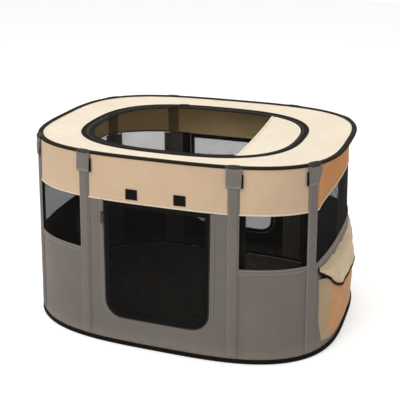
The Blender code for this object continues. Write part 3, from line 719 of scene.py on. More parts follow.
def make_band():
    def place(run, z):
        hem = 0.0005 * (1 - ease(z, BAND_EDGE + 0.0125, BAND_EDGE + 0.0141))
        out = hem + billow(run, z, BAND_EDGE, WALL_HEAD, 0.0016) + pucker(run, z, WALL_HEAD, 0.010, 0.0004)
        return wall(share_run(run), z, out)

    # Faces between the end posts, which take the painted-shade copy of the tan cloth
    def at_end(run, _):
        return min(abs((run - middle + AROUND / 2) % AROUND - AROUND / 2) for middle in (0, AROUND / 2)) < END_RUN

    def rolled(run, turn):
        out, rise = 0.0007 + 0.0012 * math.sin(turn), 0.0021 * math.cos(turn)
        return wall(share_run(run), BAND_EDGE + 0.0006 + rise, out)

    rows = wall_rows(BAND_EDGE - 0.0005, WALL_HEAD, BAND_EDGE + 0.0133, SHOULDER_Z)
    # Outside tan, the inside's painted-light copy, and the ends' painted-shade copy
    finishes = (TAN, TAN_INSIDE_PAINTED_LIGHT, TAN_END_PAINTED_SHADE)
    band = cloth("upper_band_cloth", ALL_ROUND, rows, place, finishes, SOFT_CLOTH, closed=True, second_where=at_end)
    ride(band, "root", "tan_cloth", "upper_band")
    hem = tube("band_hem", ALL_ROUND, steps(0, TURN, 0.8), rolled, HEM)
    ride(hem, "root", "tan_cloth")


def grey_out(run, z, head):
    fold = 0.0007 * ease(z, head - 0.0158, head - 0.0142)
    return fold + billow(run, z, WALL_FOOT, head, 0.0022) + pucker(run, z, WALL_FOOT, 0.012, 0.0006)


def make_end_walls():
    for end, start in (("right", -SIDE_RUN), ("left", AROUND / 2 - SIDE_RUN)):
        across = steps(start + SEAM_GAP, start + 2 * SIDE_RUN - SEAM_GAP, COLUMN)
        rows = wall_rows(WALL_FOOT, WINDOW_SILL, WINDOW_SILL - 0.015)
        wide = cloth(
            f"{end}_wall_cloth", across, rows,
            lambda run, z: wall(share_run(run), z, grey_out(run, z, WINDOW_SILL)), (GREY, LINING), WALL_CLOTH,
        )
        ride(wide, "root", "grey_cloth", f"{end}_wall")


def doorway(side):
    """Block with the doorway's outline, to cut with: its two lower edges are rounded."""
    half, sill, top = DOOR_WIDTH / 2 + GAP, DOOR_SILL - GAP, BAND_EDGE + 0.02
    cutter = block((2 * half, 0.2, top - sill), (0, side * BASE_WIDTH / 2, (sill + top) / 2))
    edit(cutter, action="DESELECT")
    for edge in cutter.data.edges:
        a, b = (cutter.data.vertices[k].co for k in edge.vertices)
        edge.select = a.z < sill + 0.001 and b.z < sill + 0.001 and abs(a.x - b.x) < 0.001
    edit(cutter, lambda: bpy.ops.mesh.bevel(offset=DOOR_CORNER + GAP, segments=12, affect="EDGES"), action=None)
    return cutter


def cut_with(piece, cutter):
    finish_modifier(piece, "BOOLEAN", operation="DIFFERENCE", object=cutter, solver="EXACT")
    bpy.data.objects.remove(cutter)


def door_line(side):
    """The doorway's U, from one upper corner down and round to the other, the door on its left."""
    half, top_of_bend = DOOR_WIDTH / 2, DOOR_SILL + DOOR_CORNER
    flat = [(half, z) for z in np.linspace(BAND_EDGE, top_of_bend, 16)]
    flat += [
        (half - DOOR_CORNER + DOOR_CORNER * math.cos(t), top_of_bend - DOOR_CORNER * math.sin(t))
        for t in np.linspace(0, math.pi / 2, 9)[1:]
    ]
    flat += [(x, DOOR_SILL) for x in np.linspace(half - DOOR_CORNER, 0, 8)[1:]]
    flat += [(-x, z) for x, z in flat[-2::-1]]
    if side < 0:
        flat = flat[::-1]
    return track([front(x, z, 0.0, side) for x, z in flat], [front_normal(x, z, side) for x, z in flat])


def zip_teeth(name, place, length, pitch=0.0017):
    """Coil of a zip: one tooth, rounded and copied along the line, every second one from the other side."""
    tooth = block((0.62 * pitch, 0.0030, 0.0011))
    tooth.name = name
    finish_modifier(tooth, "BEVEL", width=0.00025, segments=1)
    finish_modifier(
        tooth, "ARRAY", count=int(length / pitch), use_relative_offset=False, use_constant_offset=True,
        constant_offset_displace=(pitch, 0, 0),
    )
    for vert in tooth.data.vertices:
        shift = 0.0005 if round(vert.co.x / pitch) % 2 else -0.0005
        vert.co = place(vert.co.x + pitch / 2, vert.co.y + shift, vert.co.z)
    edit(tooth, merge, face_out)
    tooth.data.materials.append(COIL)
    smooth(tooth, 50)
    return tooth


# How far out each tape of a doorway lies, by its place across the doorway's edge
ZIP_OUT = dict.fromkeys((-0.0085, -0.0080, -0.0022, -0.0004), 0.0010)
GUARD_OUT = {
    -0.0114: 0.0006, -0.0108: 0.0012, -0.0095: 0.0012, -0.0060: 0.0021, -0.0032: 0.0023, -0.0018: 0.0022,
    -0.0012: 0.0018,
}
EDGING_OUT = {0.0004: -0.0006, 0.0012: 0.0004, 0.0045: 0.0004, 0.0085: 0.0004, 0.0118: 0.0004, 0.0126: -0.0006}


def make_doors():
    for side, sign in SIDES:
        middle = AROUND * (0.75 if sign < 0 else 0.25)
        reach = middle - POSTS["front_side_left" if sign < 0 else "back_side_right"]
        across = steps(middle - reach + SEAM_GAP, middle + reach - SEAM_GAP, COLUMN)
        wide = cloth(
            f"{side}_wall_cloth", across, wall_rows(WALL_FOOT, BAND_EDGE + 0.001),
            lambda run, z: wall(share_run(run), z, grey_out(run, z, 0.75) * off_door(run, z, middle)),
            (GREY_PLAIN, LINING), WALL_CLOTH,
        )
        cut_with(wide, doorway(sign))
        smooth(wide)
        ride(wide, "root", "grey_cloth", f"{side}_wall")

        place, length = door_line(sign)
        stations = steps(0, length, ROW)
        tape = strip(f"{side}_zip_tape", stations, ZIP_OUT, place, (ZIP_TAPE,), THIN_CLOTH)
        teeth = zip_teeth(f"{side}_zip_coil", lambda d, b, out: place(d, b + 0.0006, 0.0014 + out), length)
        guard = strip(f"{side}_zip_guard", stations, GUARD_OUT, place, (GUARD, LINING), THIN_CLOTH)
        ride(tape, "root", "zip_tape", f"{side}_door_zip")
        ride(teeth, "root", "zip_tape")
        ride(guard, "root", "grey_cloth")

        door = f"{side}_door"
        border = strip(f"{door}_edging", stations, EDGING_OUT, place, (EDGING,), 0.0014)
        head = cloth(
            f"{door}_head", steps(-DOOR_WIDTH / 2 + 0.001, DOOR_WIDTH / 2 - 0.001, 0.012),
            [BAND_EDGE - 0.014, BAND_EDGE - 0.013, BAND_EDGE - 0.0012],
            lambda x, z: front(-x * sign, z, -0.0001, sign), (EDGING,), 0.0012,
        )
        net = cloth(
            f"{door}_net", steps(-1, 1, 0.06), steps(DOOR_SILL + 0.006, BAND_EDGE - 0.004, ROW),
            lambda share, z: door_net_point(share, z, sign), (DOOR_NET if sign < 0 else NET,), NET_THICK,
        )
        for corner in net.data.uv_layers.active.data:
            corner.uv = (corner.uv[0] * DOOR_WIDTH / 2, corner.uv[1])
        ride(net, door, "net", door)
        ride(border, door, "net")
        ride(head, door, "net")


def off_door(run, z, middle):
    """0 at the doorway's edge, so that the cloth lies flat under its zip."""
    gap = abs(run - middle) - DOOR_WIDTH / 2
    return max(ease(gap, 0.010, 0.040), ease(DOOR_SILL - z, 0.010, 0.040))


def door_net_point(share, z, sign):
    half = DOOR_WIDTH / 2 - 0.006
    drop = DOOR_SILL + DOOR_CORNER - z
    if drop > 0:
        radius = DOOR_CORNER - 0.006
        half -= radius - math.sqrt(max(0.0, radius**2 - min(drop, radius) ** 2))
    sag = (1 - share**2) * math.sin(math.pi * (z - DOOR_SILL) / (BAND_EDGE - DOOR_SILL))
    x = -sign * share * half
    return front(x, z, -0.0007 - sag * (0.003 + 0.004 * ripple((x, z, sign), 0.09, 2.0)), sign)


def make_windows():
    order = {
        "right": (-END_RUN, END_RUN), "back_right": (END_RUN, SIDE_RUN),
        "back_left": (AROUND / 2 - SIDE_RUN, AROUND / 2 - END_RUN),
        "left": (AROUND / 2 - END_RUN, AROUND / 2 + END_RUN),
        "front_left": (AROUND / 2 + END_RUN, AROUND / 2 + SIDE_RUN),
        "front_right": (AROUND - SIDE_RUN, AROUND - END_RUN),
    }
    low, high = WINDOW_SILL - 0.004, BAND_EDGE + 0.004
    for name, (start, end) in order.items():
        def place(run, z, start=start, end=end):
            spot = wall(share_run(run), z)
            sag = math.sin(math.pi * (run - start) / (end - start)) * math.sin(math.pi * (z - low) / (high - low))
            return wall(share_run(run), z, -0.0013 - sag * (0.002 + 0.004 * ripple(spot, 0.07, 4.0)))

        net = cloth(f"{name}_window_net", steps(start, end, ROW), steps(low, high, 0.009), place, (NET,), NET_THICK)
        ride(net, "root", "net", f"{name}_window")


# Uprights

def beside(post, side, z, out):
    """Point beside a post: side along the wall, anticlockwise, and out from it."""
    share = share_run(POSTS[post])
    normal = normal_at(share, z)
    return wall(share, z, out) + UP.cross(normal) * side


# Half of a sleeve's outside: place across the post, and how far out it stands
SLEEVE_HALF = [
    (0.0030, 0.0049), (0.0090, 0.0047), (0.0111, 0.0038), (0.0120, 0.0016), (0.0138, 0.0012), (0.0142, 0.0004),
]
SLEEVE_OUT = dict([(-side, out) for side, out in SLEEVE_HALF[::-1]] + SLEEVE_HALF)
# Shares of its width that a stay keeps towards its rounded head
STAY_HEAD = {SLEEVE_TOP + 0.0095: 0.92, SLEEVE_TOP + 0.0112: 0.72, SLEEVE_TOP + 0.012: 0.45}
# Tapes over the seams inside, and a strip of painted shade on the band's inside behind each sleeve: name, places
# across one half, how far out, rows and finishes
INNER_TAPES_AND_SHADE_STRIPS = (
    ("seam_tape", (0.0, 0.014, 0.0284, 0.029), -0.0019, (0.012, BAND_EDGE - 0.002, 0.012), (LINING, SEAM_TAPE_PAINTED_LIGHT)),
    (
        "band_painted_shade_strip", (0.0, 0.007, 0.0152, 0.0158), -0.0014, (BAND_EDGE + 0.003, WALL_HEAD - 0.004, 0.010),
        (BAND_PAINTED_SHADE,),
    ),
)
# How much thicker than the binding a loop of tape over the rim is, at its middle
LOOP_SWELL = {"front_end": 0.0032, "front_side": 0.0021}


def make_uprights():
    for post, run in POSTS.items():
        seed = run * 3.1

        def sleeve_point(side, z):
            flat = 0.20 + 0.80 * ease(z, 0.0130, 0.0240)
            play = 0.0005 * ripple((side * 3, 0, z), 0.05, seed) * ease(abs(side), 0.014, 0.008)
            return beside(post, side, z, SLEEVE_OUT[side] * flat + play)

        rows = [SLEEVE_FOOT] + steps(0.0130, 0.0245, 0.0025) + steps(0.033, SLEEVE_TOP, 0.009)
        sleeve = cloth(
            f"{post}_sleeve_cloth", list(SLEEVE_OUT), rows, sleeve_point, (SLEEVE,), THIN_CLOTH, degrees=55
        )
        ride(sleeve, "root", "grey_cloth", f"{post}_sleeve")

        stay = cloth(
            f"{post}_stay_bar", steps(-STAY_HALF, STAY_HALF, 0.0025),
            steps(STAY_FOOT, SLEEVE_TOP + 0.007, 0.03) + list(STAY_HEAD),
            lambda side, z: beside(post, side * STAY_HEAD.get(z, 1.0), z, STAY_OUT), (FIBRE,), STAY_THICK,
        )
        ride(stay, "root", "stay", f"{post}_stay")

        # Inside each post: the seam tape, and on the band a strip of painted shade
        for kind, sides, out, rows, finishes in INNER_TAPES_AND_SHADE_STRIPS:
            tape = cloth(
                f"{post}_{kind}", [-side for side in sides[:0:-1]] + list(sides), steps(*rows),
                lambda side, z: wall(share_run(run + side), z, out - 0.0003 * (abs(side) < sides[-1])), finishes,
                0.0007,
            )
            ride(tape, "root", "binding")
        make_hood(post)


def make_hood(post):
    """Flap over the sleeve's mouth, sewn on over the rim under a loop of tape, with a strip of hooks beside it."""
    seed = POSTS[post] * 5.3
    curl = 0.50 if post == "front_end_right" else 0.06

    def drawn_in(side, rise):
        return side * (1 - curl * ease(rise, 0.032, 0.0))

    def hood_point(side, rise):
        z = HOOD_HEM + rise
        if side > 0:
            side = drawn_in(side, rise)
        if z <= HOOD_BEND_Z:
            out = 0.0063 - 0.0009 * ease(z, HOOD_HEM + 0.010, TOP_RING_Z - 0.008)
            belly = 0.0016 * math.sin(math.pi * rise / 0.048) * (1 - (side / 0.019) ** 2)
            crease = 0.0007 * ripple((side, z, 0), 0.016, seed)
            return beside(post, side, z, out + belly + crease)
        turn = (z - HOOD_BEND_Z) / HOOD_BEND
        return beside(post, side, HOOD_BEND_Z + HOOD_BEND * math.sin(turn), -0.0008 + 0.0062 * math.cos(turn))

    hood = cloth(
        f"{post}_hood_cloth", steps(-HOOD_HALF, HOOD_HALF, 0.003), steps(0.0, HOOD_FALL, 0.0026), hood_point,
        (HOOD,), SOFT_CLOTH,
    )
    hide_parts(f"{post}_hood")
    start, end = beside(post, 0, TOP_RING_Z - 0.007, 0), beside(post, 0, TOP_RING_Z - 0.021, 0)
    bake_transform(hood)
    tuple(start)
    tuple(end)

    edges = [beside(post, drawn_in(PIPING_SIDE, rise), HOOD_HEM + rise, 0.0064) for rise in steps(0, 0.040, 0.004)]
    along, length = track(edges, [normal_at(share_run(POSTS[post]), HOOD_HEM)] * len(edges))
    piping = tube(
        f"{post}_hood_piping", steps(0, length, 0.005), steps(0, TURN, 0.9),
        lambda d, t: along(d, 0.0008 * math.cos(t), 0.0010 * math.sin(t)), PIPING, ends=True,
    )
    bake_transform(piping)
    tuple(start)
    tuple(end)

    middle = HOOK_SHIFT if "side" in post else -HOOK_SHIFT
    hooks = cloth(
        f"{post}_hook_strip", steps(middle - HOOK_HALF, middle + HOOK_HALF, 0.003),
        steps(HOOD_HEM + 0.001, HOOD_HEM + 0.034, 0.004),
        lambda side, z: beside(post, side, z, 0.0056 - 0.0022 * ease(abs(side), 0.012, 0.020)), (HOOKS,), 0.0006,
    )
    ride(hooks, "root", "zip_tape")

    swell = LOOP_SWELL.get(post.rsplit("_", 1)[0], 0.0009)

    def loop_point(side, turn):
        play = 0.0002 * ripple((side, turn * 0.01, 0), 0.010, seed)
        radius = TOP_TUBE + swell * (1 - ease(abs(side), 0.009, LOOP_HALF)) + play
        bulge = 1 + 0.10 * math.exp(-((turn - 1.3) ** 2)) * (1 - (side / 0.026) ** 2)
        rise = TOP_RING_Z + radius * bulge * math.sin(turn)
        return beside(post, side, rise, RING_OUT + 1.12 * radius * math.cos(turn))

    loop = cloth(
        f"{post}_rim_loop", steps(-LOOP_HALF, LOOP_HALF, 0.003), steps(math.radians(-38), math.radians(165), 0.27),
        loop_point, (PATCH,), SOFT_CLOTH,
    )
    ride(loop, "top", "binding", folds=False)


# Rim and base

def make_ring(node, z, section, body, finish, stout=0.0):
    """Tape folded over a hoop: its section swept all the way round, thicker by stout at the ends."""
    corners = section + section[:1]
    lengths = [0.0]
    for a, b in zip(corners, corners[1:]):
        lengths.append(lengths[-1] + math.dist(a, b))
    spots = dict(zip(lengths, corners))

    def place(run, length):
        out, up = spots[length]
        share = share_run(run)
        play = 1 + 0.006 * ripple((run * 0.7, up * 3, z), 0.035, 6.0) + stout * ease(abs(share[0]), 0.80, 0.97)
        return wall(share, z, RING_OUT + out * play) + UP * up

    ring = tube(f"{node}_tape", ALL_ROUND, lengths, place, finish, degrees=50)
    ride(ring, body, "binding", node, folds=False)


def arc(radius, degrees):
    return [(radius * math.cos(t), radius * math.sin(t)) for t in np.radians(degrees)]


def make_bindings():
    flange = [
        (-0.0030, 0.0030), (-0.0060, 0.0024), (-0.0094, 0.0021), (-0.0102, 0.0015), (-0.0094, 0.0010),
        (-0.0050, 0.0010), (-0.0036, 0.0002),
    ]
    make_ring("top_binding", TOP_RING_Z, arc(TOP_TUBE, range(-120, 91, 30)) + flange, "top", BINDING)
    lip = [(0.0036, 0.0054), (0.0033, 0.0072), (0.0026, 0.0082), (0.0017, 0.0082), (0.0012, 0.0072), (0.0010, 0.0042)]
    section = arc(BASE_TUBE, range(-90, 46, 22)) + lip + arc(BASE_TUBE, [110, 140, 170, 200, 230, 250])
    make_ring("base_binding", BASE_TUBE, section, "root", HEM_TAPE, 0.35)


def make_floor():
    sides = 240
    only()
    bpy.ops.mesh.primitive_circle_add(vertices=sides, radius=1, fill_type="NGON")
    floor = bpy.context.object
    floor.name = "floor_cloth"
    for k, vert in enumerate(floor.data.vertices):
        edge = wall(share_run(AROUND * k / sides), 0.0, RING_OUT - 0.0050)
        vert.co = (edge.x, edge.y, CLOTH - 0.0002)
    edit(floor, *[lambda: bpy.ops.mesh.inset(thickness=0.03)] * 3)
    floor.data.materials.append(FLOOR)
    finish_modifier(floor, "SOLIDIFY", thickness=WALL_CLOTH, offset=-1)
    cut_map(floor)
    ride(floor, "root", "grey_cloth", "floor", folds=False)


def cut_map(piece):
    """UV map of a flat piece, straight from above, in metres."""
    mesh = piece.data
    layer = mesh.uv_layers.active or mesh.uv_layers.new(name="cut")
    for loop in mesh.loops:
        point = mesh.vertices[loop.vertex_index].co
        layer.data[loop.index].uv = (point.x, point.y)


# Top

def make_top_panel():
    count = len(PANEL_TURNS) - 1
    low = TOP_RING_Z + CLOTH / 2

    def place(share, inward):
        rim = wall(share_run(AROUND * share), TOP_RING_Z, RING_OUT - TOP_TUBE)
        x, y = opening(PANEL_TURNS[round(share * count)])
        height = low + (OPENING_Z + CLOTH / 2 - low) * inward
        spot = Vector((rim.x + (x - rim.x) * inward, rim.y + (y - rim.y) * inward, height))
        slack = math.sin(math.pi * inward)
        return spot + UP * slack * (0.0012 * ripple(spot, 0.11, 7.0) + 0.0006 * ripple(spot, 0.035, 2.0) - 0.0008)

    around = [k / count for k in range(count + 1)]
    panel = cloth("top_panel_cloth", around, steps(0, 1, 0.07), place, (CREAM,), CLOTH, closed=True)
    cut_map(panel)
    ride(panel, "top", "cream_cloth", "top_panel", folds=False)


def make_opening_zip():
    profile = {
        -0.0030: 0.0004, -0.0024: 0.0012, 0.0010: 0.0014, 0.0050: 0.0009, 0.0085: 0.0006, 0.0100: 0.0012,
        0.0106: 0.0004,
    }
    stations = steps(0, OPENING_RUN, COLUMN)
    tape = strip("opening_zip_tape", stations, profile, round_opening, (ZIP_TAPE,), SOFT_CLOTH, closed=True)
    ride(tape, "top", "zip_tape", "opening_zip", folds=False)
    coil = zip_teeth("opening_zip_coil", lambda d, b, out: round_opening(d, 0.0118 + b, 0.0014 + out), OPENING_RUN)
    ride(coil, "top", "zip_tape", folds=False)


def make_crescent():
    """Cloth that closes the right end of the opening, and its dark edge."""
    inset = OPENING_ZIP + 0.0018
    tip = OPENING_SHIFT + OPENING_LENGTH / 2 - inset

    def place(x, share):
        y = share * opening_half(min(x, tip - 1e-5), inset)
        height = OPENING_LEVEL + 0.0004 + 0.0006 * ripple((x, y, 0), 0.05, 3.0)
        return Vector((x + seam_bow(share) * ease(x, tip, CRESCENT_X), y, height))

    across = [CRESCENT_X + (tip - 0.0004 - CRESCENT_X) * math.sin(t) for t in np.linspace(0, math.pi / 2, 26)]
    crescent = cloth("crescent_cloth", across, steps(-1, 1, 0.04), place, (CREAM,), CLOTH)
    cut_map(crescent)
    ride(crescent, "top", "cream_cloth", "crescent_panel", folds=False)
    corner = math.atan2(opening_half(CRESCENT_X, inset), CRESCENT_X - OPENING_SHIFT)
    reach = float(np.interp(corner, PANEL_TURNS, ARC_RUNS))
    profile = {0.0128: 0.0006, 0.0136: 0.0014, 0.0176: 0.0015, 0.0184: 0.0006}
    trim = strip("crescent_edging", steps(-reach, reach, COLUMN), profile, round_opening, (ZIP_TAPE,), THIN_CLOTH)
    ride(trim, "top", "zip_tape", folds=False)


def make_lid():
    """Net lid, its edging, and the tape on its seam beside the crescent."""
    inset = OPENING_ZIP + 0.0022
    seam = CRESCENT_X - 0.0008
    left = OPENING_SHIFT - OPENING_LENGTH / 2 + inset

    def place(x, share):
        near = max(x, left + LID_EDGING * 0.6)
        y = share * max(0.0, opening_half(near, inset) - LID_EDGING * 0.6)
        sag = (1 - share**2) * math.sin(math.pi * (x - left) / (seam - left))
        near += seam_bow(share) * ease(x, left, seam)
        return Vector((near, y, OPENING_LEVEL - 0.0011 - sag * (0.008 + 0.005 * ripple((x, y, 0), 0.10, 9.0))))

    across = [
        (left + seam) / 2 + (seam - left - LID_EDGING * 0.62) / 2 * math.sin(t) + LID_EDGING * 0.31
        for t in np.linspace(-math.pi / 2, math.pi / 2, 60)
    ]
    net = cloth("lid_net", across, steps(-1, 1, 0.035), place, (LID_NET,), NET_THICK)
    cut_map(net)
    ride(net, "lid", "net", "lid", folds=False)

    corner = math.atan2(opening_half(seam, inset), seam - OPENING_SHIFT)
    turns, _ = even_turns(corner, TURN - corner, 220, inset)
    points = [Vector((*opening(turn, inset), OPENING_LEVEL)) for turn in turns]
    along, length = track(points, [UP] * len(points))
    profile = {0.0004: -0.0006, 0.0010: 0.0006, 0.0030: 0.0010, 0.0090: 0.0007, 0.0145: 0.0009, LID_EDGING: 0.0}
    edging = strip("lid_edging", steps(0, length, COLUMN), profile, along, (EDGING,), 0.0013)
    ride(edging, "lid", "net", folds=False)

    def seam_point(y, b):
        lift = 0.0003 if 0.001 < b < 0.0055 else -0.0005
        return Vector((seam - b + seam_bow(-y / reach), -y, OPENING_LEVEL + lift))

    reach = opening_half(seam, inset)
    across, rows = steps(-reach + 0.002, reach - 0.002, 0.012), [0.0004, 0.0012, 0.0050, 0.0058]
    seam_strip = cloth("lid_seam_tape", across, rows, seam_point, (CREAM,), 0.0010)
    ride(seam_strip, "lid", "cream_cloth", folds=False)


# Ties, pocket and sliders

# How far out a tie's stitching lies, by its place across the seam
STITCH_OUT = {0.0: -0.0001, 0.0003: 0.0004, 0.0007: 0.0004, 0.0010: -0.0001}
# A slider's body, bridge and pull tab: size, place and rounding
SLIDER_PARTS = (
    ((0.0110, 0.0074, 0.0026), (0, 0, 0.0015), 0.0009),
    ((0.0060, 0.0018, 0.0022), (0, 0, 0.0034), 0.0007),
    ((0.0225, 0.0056, 0.0011), (0.0135, 0, 0.0036), 0.0005),
)


def make_tab(name, share, seed):
    normal = normal_at(share, 0.40)
    sideways = UP.cross(normal)

    def place(a, z):
        tuck = 0.0012 * ease(abs(a), 0.013, TAB_HALF) + 0.0010 * ease(z, 0.3940, TAB_FOOT)
        return wall(share, z, TAB_OUT - tuck + 0.0005 * ripple((a, z, seed), 0.012, 4.0)) + sideways * a

    across, rows = steps(-TAB_HALF, TAB_HALF, 0.0022), steps(TAB_FOOT, TAB_HEAD, 0.0022)
    tab = cloth(f"{name}_cloth", across, rows, place, (HOOKS,), 0.0020)
    ride(tab, name, "zip_tape", name)
    half, low, high = 0.0152, 0.3924, 0.4180
    line = [(-half, high), (-half, low), (half, low), (half, high)]
    fine = [
        (a[0] + (b[0] - a[0]) * t, a[1] + (b[1] - a[1]) * t)
        for a, b in zip(line, line[1:]) for t in np.linspace(0, 1, 7)[:-1]
    ] + [line[-1]]
    along, length = track([place(a, z) for a, z in fine], [normal] * len(fine))
    edge = strip(f"{name}_stitching", steps(0, length, 0.003), STITCH_OUT, along, (PIPING,), 0.0005)
    ride(edge, name, "zip_tape")


def make_tabs():
    for side, sign in SIDES:
        for hand, x in (("left", -TAB_X), ("right", TAB_X)):
            make_tab(f"{side}_{hand}_tab", front_share(x, TAB_SEAM_Z, sign), x * sign)


def make_pocket():
    start, end = (end_run(y) for y in POCKET_ENDS)
    near, far = (end_run(y) for y in POCKET_CORNERS)
    slack, taut = end_run(POCKET_SLACK_Y), end_run(POCKET_TAUT_Y)
    middle = (start + end) / 2
    across = stretches(
        start, (near - 0.006, 0.004), (near + 0.006, 0.0015), (far - 0.006, 0.006), (far, 0.0015), (end, 0.003)
    )

    def fullness(run):
        """The bag hangs open at its front half and lies nearly flat further back."""
        return 1 - 0.70 * ease(run, slack, taut)

    def bag_point(run, z):
        low = ease(z, 0.095, POCKET_FOOT)
        drawn_in = middle + (run - middle) * (1 - 0.055 * low)
        sides = min(1.0, (run - start) / (near - start), (end - run) / (end - far))
        slope = 0.30 + 0.70 * ease(z, POCKET_FOOT - 0.010, 0.150)
        place = wall(share_run(drawn_in), z)
        depth = 0.0008 + (POCKET_DEPTH - 0.0012) * sides * slope * fullness(run)
        creases = 0.0024 * ripple(place, 0.060, 3.3) + 0.0014 * ripple(place, 0.022, 1.2)
        depth += min(1.0, 3 * sides) * slope * creases
        return place + Vector((max(0.0006, depth), 0, 0))

    bag = cloth(
        "pocket_bag", across, steps(POCKET_FOOT, POCKET_MOUTH, 0.006), bag_point, (POCKET, LINING, GUSSET),
        WALL_CLOTH, second_where=lambda run, _: run < near or run > far,
    )
    ride(bag, "root", "tan_cloth", "pocket")

    def grey_width(run):
        """Width of the flat grey strip between the flap's hinge and its cream cloth."""
        return 0.005 + 0.008 * min(1.0, (run - start) / (taut - start))

    def flap_point(run, up):
        rise = min(1.0, min(run - start, end - run) / 0.105)
        flat = grey_width(run)
        short = 0.12 + 0.88 * (1.35 * rise - 0.35 * rise**3)
        cream = max(0.0, -up - flat) * short * (FLAP_DROP - flat) / (FLAP_DROP - 0.009)
        share = share_run(run)
        free = ease(cream, 0.0, 0.040)
        spot = wall(share, FLAP_Z)
        wave = free * (0.0034 * ripple(spot, 0.042, 5.1) + 0.0016 * ripple((spot.y, cream, 0), 0.017, 2.4))
        reach = 0.0020 + 0.0225 * fullness(run) * min(1.0, 1.15 * (run - start) / (near - start))
        out = 0.0013 + reach * (1 - math.exp(-cream / 0.012)) + wave
        z = FLAP_Z - min(-up, flat) - cream * (0.62 + 0.38 * free) + 0.5 * wave
        return wall(share, z) + Vector((out, 0, 0))

    falls = stretches(-FLAP_DROP, (-0.020, 0.0035), (0, 0.0022))
    flap = cloth(
        "pocket_flap_cloth", across, falls, flap_point, (FLAP, FLAP_INSIDE, GREY_PLAIN), SOFT_CLOTH,
        second_where=lambda run, up: -up < grey_width(run),
    )
    ride(flap, "pocket_flap", "cream_cloth", "pocket_flap")
    rim = [(start, up) for up in falls[::-1]] + [(run, -FLAP_DROP) for run in across[1:-1]]
    rim += [(end, up) for up in falls]
    along, length = track([flap_point(*spot) for spot in rim], [Vector((1, 0, 0.12)).normalized()] * len(rim))
    edge = tube(
        "pocket_flap_binding", steps(0, length, 0.004), steps(0, TURN, 0.9),
        lambda d, t: along(d, 0.0042 * math.cos(t) - 0.0032, 0.0015 * math.sin(t) - 0.0002), HEM_TAPE, degrees=60,
        ends=True,
    )
    ride(edge, "pocket_flap", "binding")


def make_slider(name, body, centre, along, outward, nodes, folds):
    """Slider: a bevelled body, the bridge over it, and a pull tab hanging from the bridge."""
    parts = []
    for size, spot, round_off in SLIDER_PARTS:
        part = block(size, spot)
        finish_modifier(part, "BEVEL", width=round_off, segments=3)
        parts.append(part)
    for vert in parts[0].data.vertices:
        vert.co.y *= 1 - 0.35 * ease(vert.co.x, -0.002, 0.0055)
    for vert in parts[2].data.vertices:
        vert.co.y *= 0.72 + 0.28 * ease(vert.co.x, 0.006, 0.020)
    only(*parts)
    bpy.ops.object.join()
    slider = bpy.context.object
    slider.name = name
    turned = Matrix((along, outward.cross(along).normalized(), outward)).transposed().to_4x4()
    slider.data.transform(Matrix.Translation(centre) @ turned)
    slider.data.materials.clear()
    slider.data.materials.append(SLIDER)
    smooth(slider, 35)
    ride(slider, body, "slider", *nodes, folds=folds)


def make_sliders():
    for side, sign in SIDES:
        x = (DOOR_WIDTH / 2 + DOOR_SLIDER_OFF) * sign
        down = (front(x, 0.330, 0.0, sign) - front(x, 0.360, 0.0, sign)).normalized()
        name = f"{side}_door_slider"
        spot = front(x, DOOR_SLIDER_Z, 0.0016, sign)
        make_slider(f"{side}_door_pull", name, spot, down, front_normal(x, DOOR_SLIDER_Z, sign), (name,), True)
    turn = math.pi - math.atan2(*LID_SLIDER)
    place = [Vector((*opening(turn + step, 0.006), OPENING_Z + 0.0012)) for step in (-0.01, 0.0, 0.01)]
    make_slider("lid_pull", "lid_slider", place[1], (place[0] - place[2]).normalized(), UP, ("lid_slider",), False)


# Set

# The photo's camera as fitted: lens in mm, place, and degrees down, to the left and rolled
LENS, CAMERA_SPOT = 73.3, (0.69137, -1.96520, 1.07382)
CAMERA_DOWN, CAMERA_LEFT, CAMERA_ROLL = 20.635, 19.319, 0.034
LAMP_AIM = Vector((0, 0, 0.25))
# Lamps: name, place, size in m and power in W
LAMPS = (
    ("key", (-1.3, -2.6, 3.0), 2.2, 60.0), ("fill", (2.6, -1.6, 1.8), 2.4, 2.5), ("top", (0.1, 0.5, 3.2), 2.4, 32.0),
)


def direct(tree):
    """1 on a ray that the camera sees, straight, mirrored or let through, and 0 on the light falling on the pen."""
    rays = tree.nodes.new("ShaderNodeLightPath").outputs
    seen = calc(tree, "ADD", rays["Is Camera Ray"], rays["Is Glossy Ray"], clamped=True)
    return calc(tree, "ADD", seen, rays["Is Transmission Ray"], clamped=True)


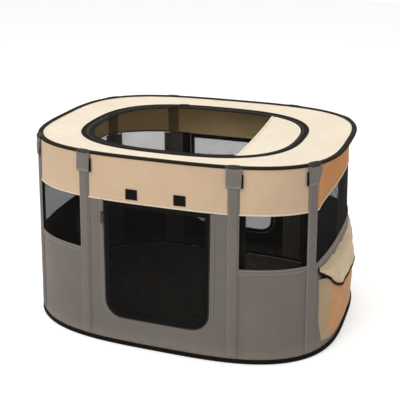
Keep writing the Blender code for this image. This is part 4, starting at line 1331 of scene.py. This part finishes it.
def make_set():
    scene = bpy.context.scene
    scene.view_settings.view_transform = "Standard"

    lens = bpy.data.cameras.new("camera")
    lens.lens, lens.sensor_width = LENS, 36.0
    lens.clip_end = 50
    camera = bpy.data.objects.new("camera", lens)
    camera.location = CAMERA_SPOT
    turn = Euler((math.radians(90 - CAMERA_DOWN), 0, math.radians(CAMERA_LEFT))).to_matrix()
    camera.rotation_euler = (turn @ Matrix.Rotation(math.radians(CAMERA_ROLL), 3, "Z")).to_euler()
    scene.collection.objects.link(camera)
    scene.camera = camera

    world = bpy.data.worlds.new("studio")
    world.use_nodes = True
    scene.world = world
    tree = world.node_tree
    light, white = tree.nodes["Background"], tree.nodes.new("ShaderNodeBackground")
    give(tree, light, Strength=0.62, Color=(1.0, 0.99, 0.975, 1))
    give(tree, white, Strength=1.0, Color=(1, 1, 1, 1))
    mix = tree.nodes.new("ShaderNodeMixShader")
    for socket, value in zip(mix.inputs, (direct(tree), light.outputs[0], white.outputs[0])):
        feed(tree, socket, value)
    give(tree, tree.nodes["World Output"], Surface=mix.outputs[0])

    only()
    bpy.ops.mesh.primitive_plane_add(size=14, location=(0, 0, -0.0002))
    ground = bpy.context.object
    ground.name = "ground"
    paper = bpy.data.materials.new("pale_paper")
    paper.use_nodes = True
    tree = paper.node_tree
    give(
        tree, tree.nodes["Principled BSDF"], Base_Color=(0.80, 0.80, 0.80, 1), Roughness=0.9,
        Emission_Color=(1, 1, 1, 1), Emission_Strength=times(tree, direct(tree), 0.42),
    )
    ground.data.materials.append(paper)

    for name, spot, size, power in LAMPS:
        lamp = bpy.data.lights.new(name, "AREA")
        lamp.energy, lamp.size = power, size
        holder = bpy.data.objects.new(name, lamp)
        holder.location = spot
        holder.rotation_euler = (LAMP_AIM - Vector(spot)).to_track_quat("-Z", "Y").to_euler()
        scene.collection.objects.link(holder)


make_set()
make_band()
make_end_walls()
make_doors()
make_windows()
make_uprights()
make_bindings()
make_floor()
make_top_panel()
make_opening_zip()
make_crescent()
make_lid()
make_tabs()
make_pocket()
make_sliders()

for node in ("top_hoop", "base_hoop"):
    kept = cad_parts[node].data.materials
    kept.clear()
    kept.append(STEEL)

only()
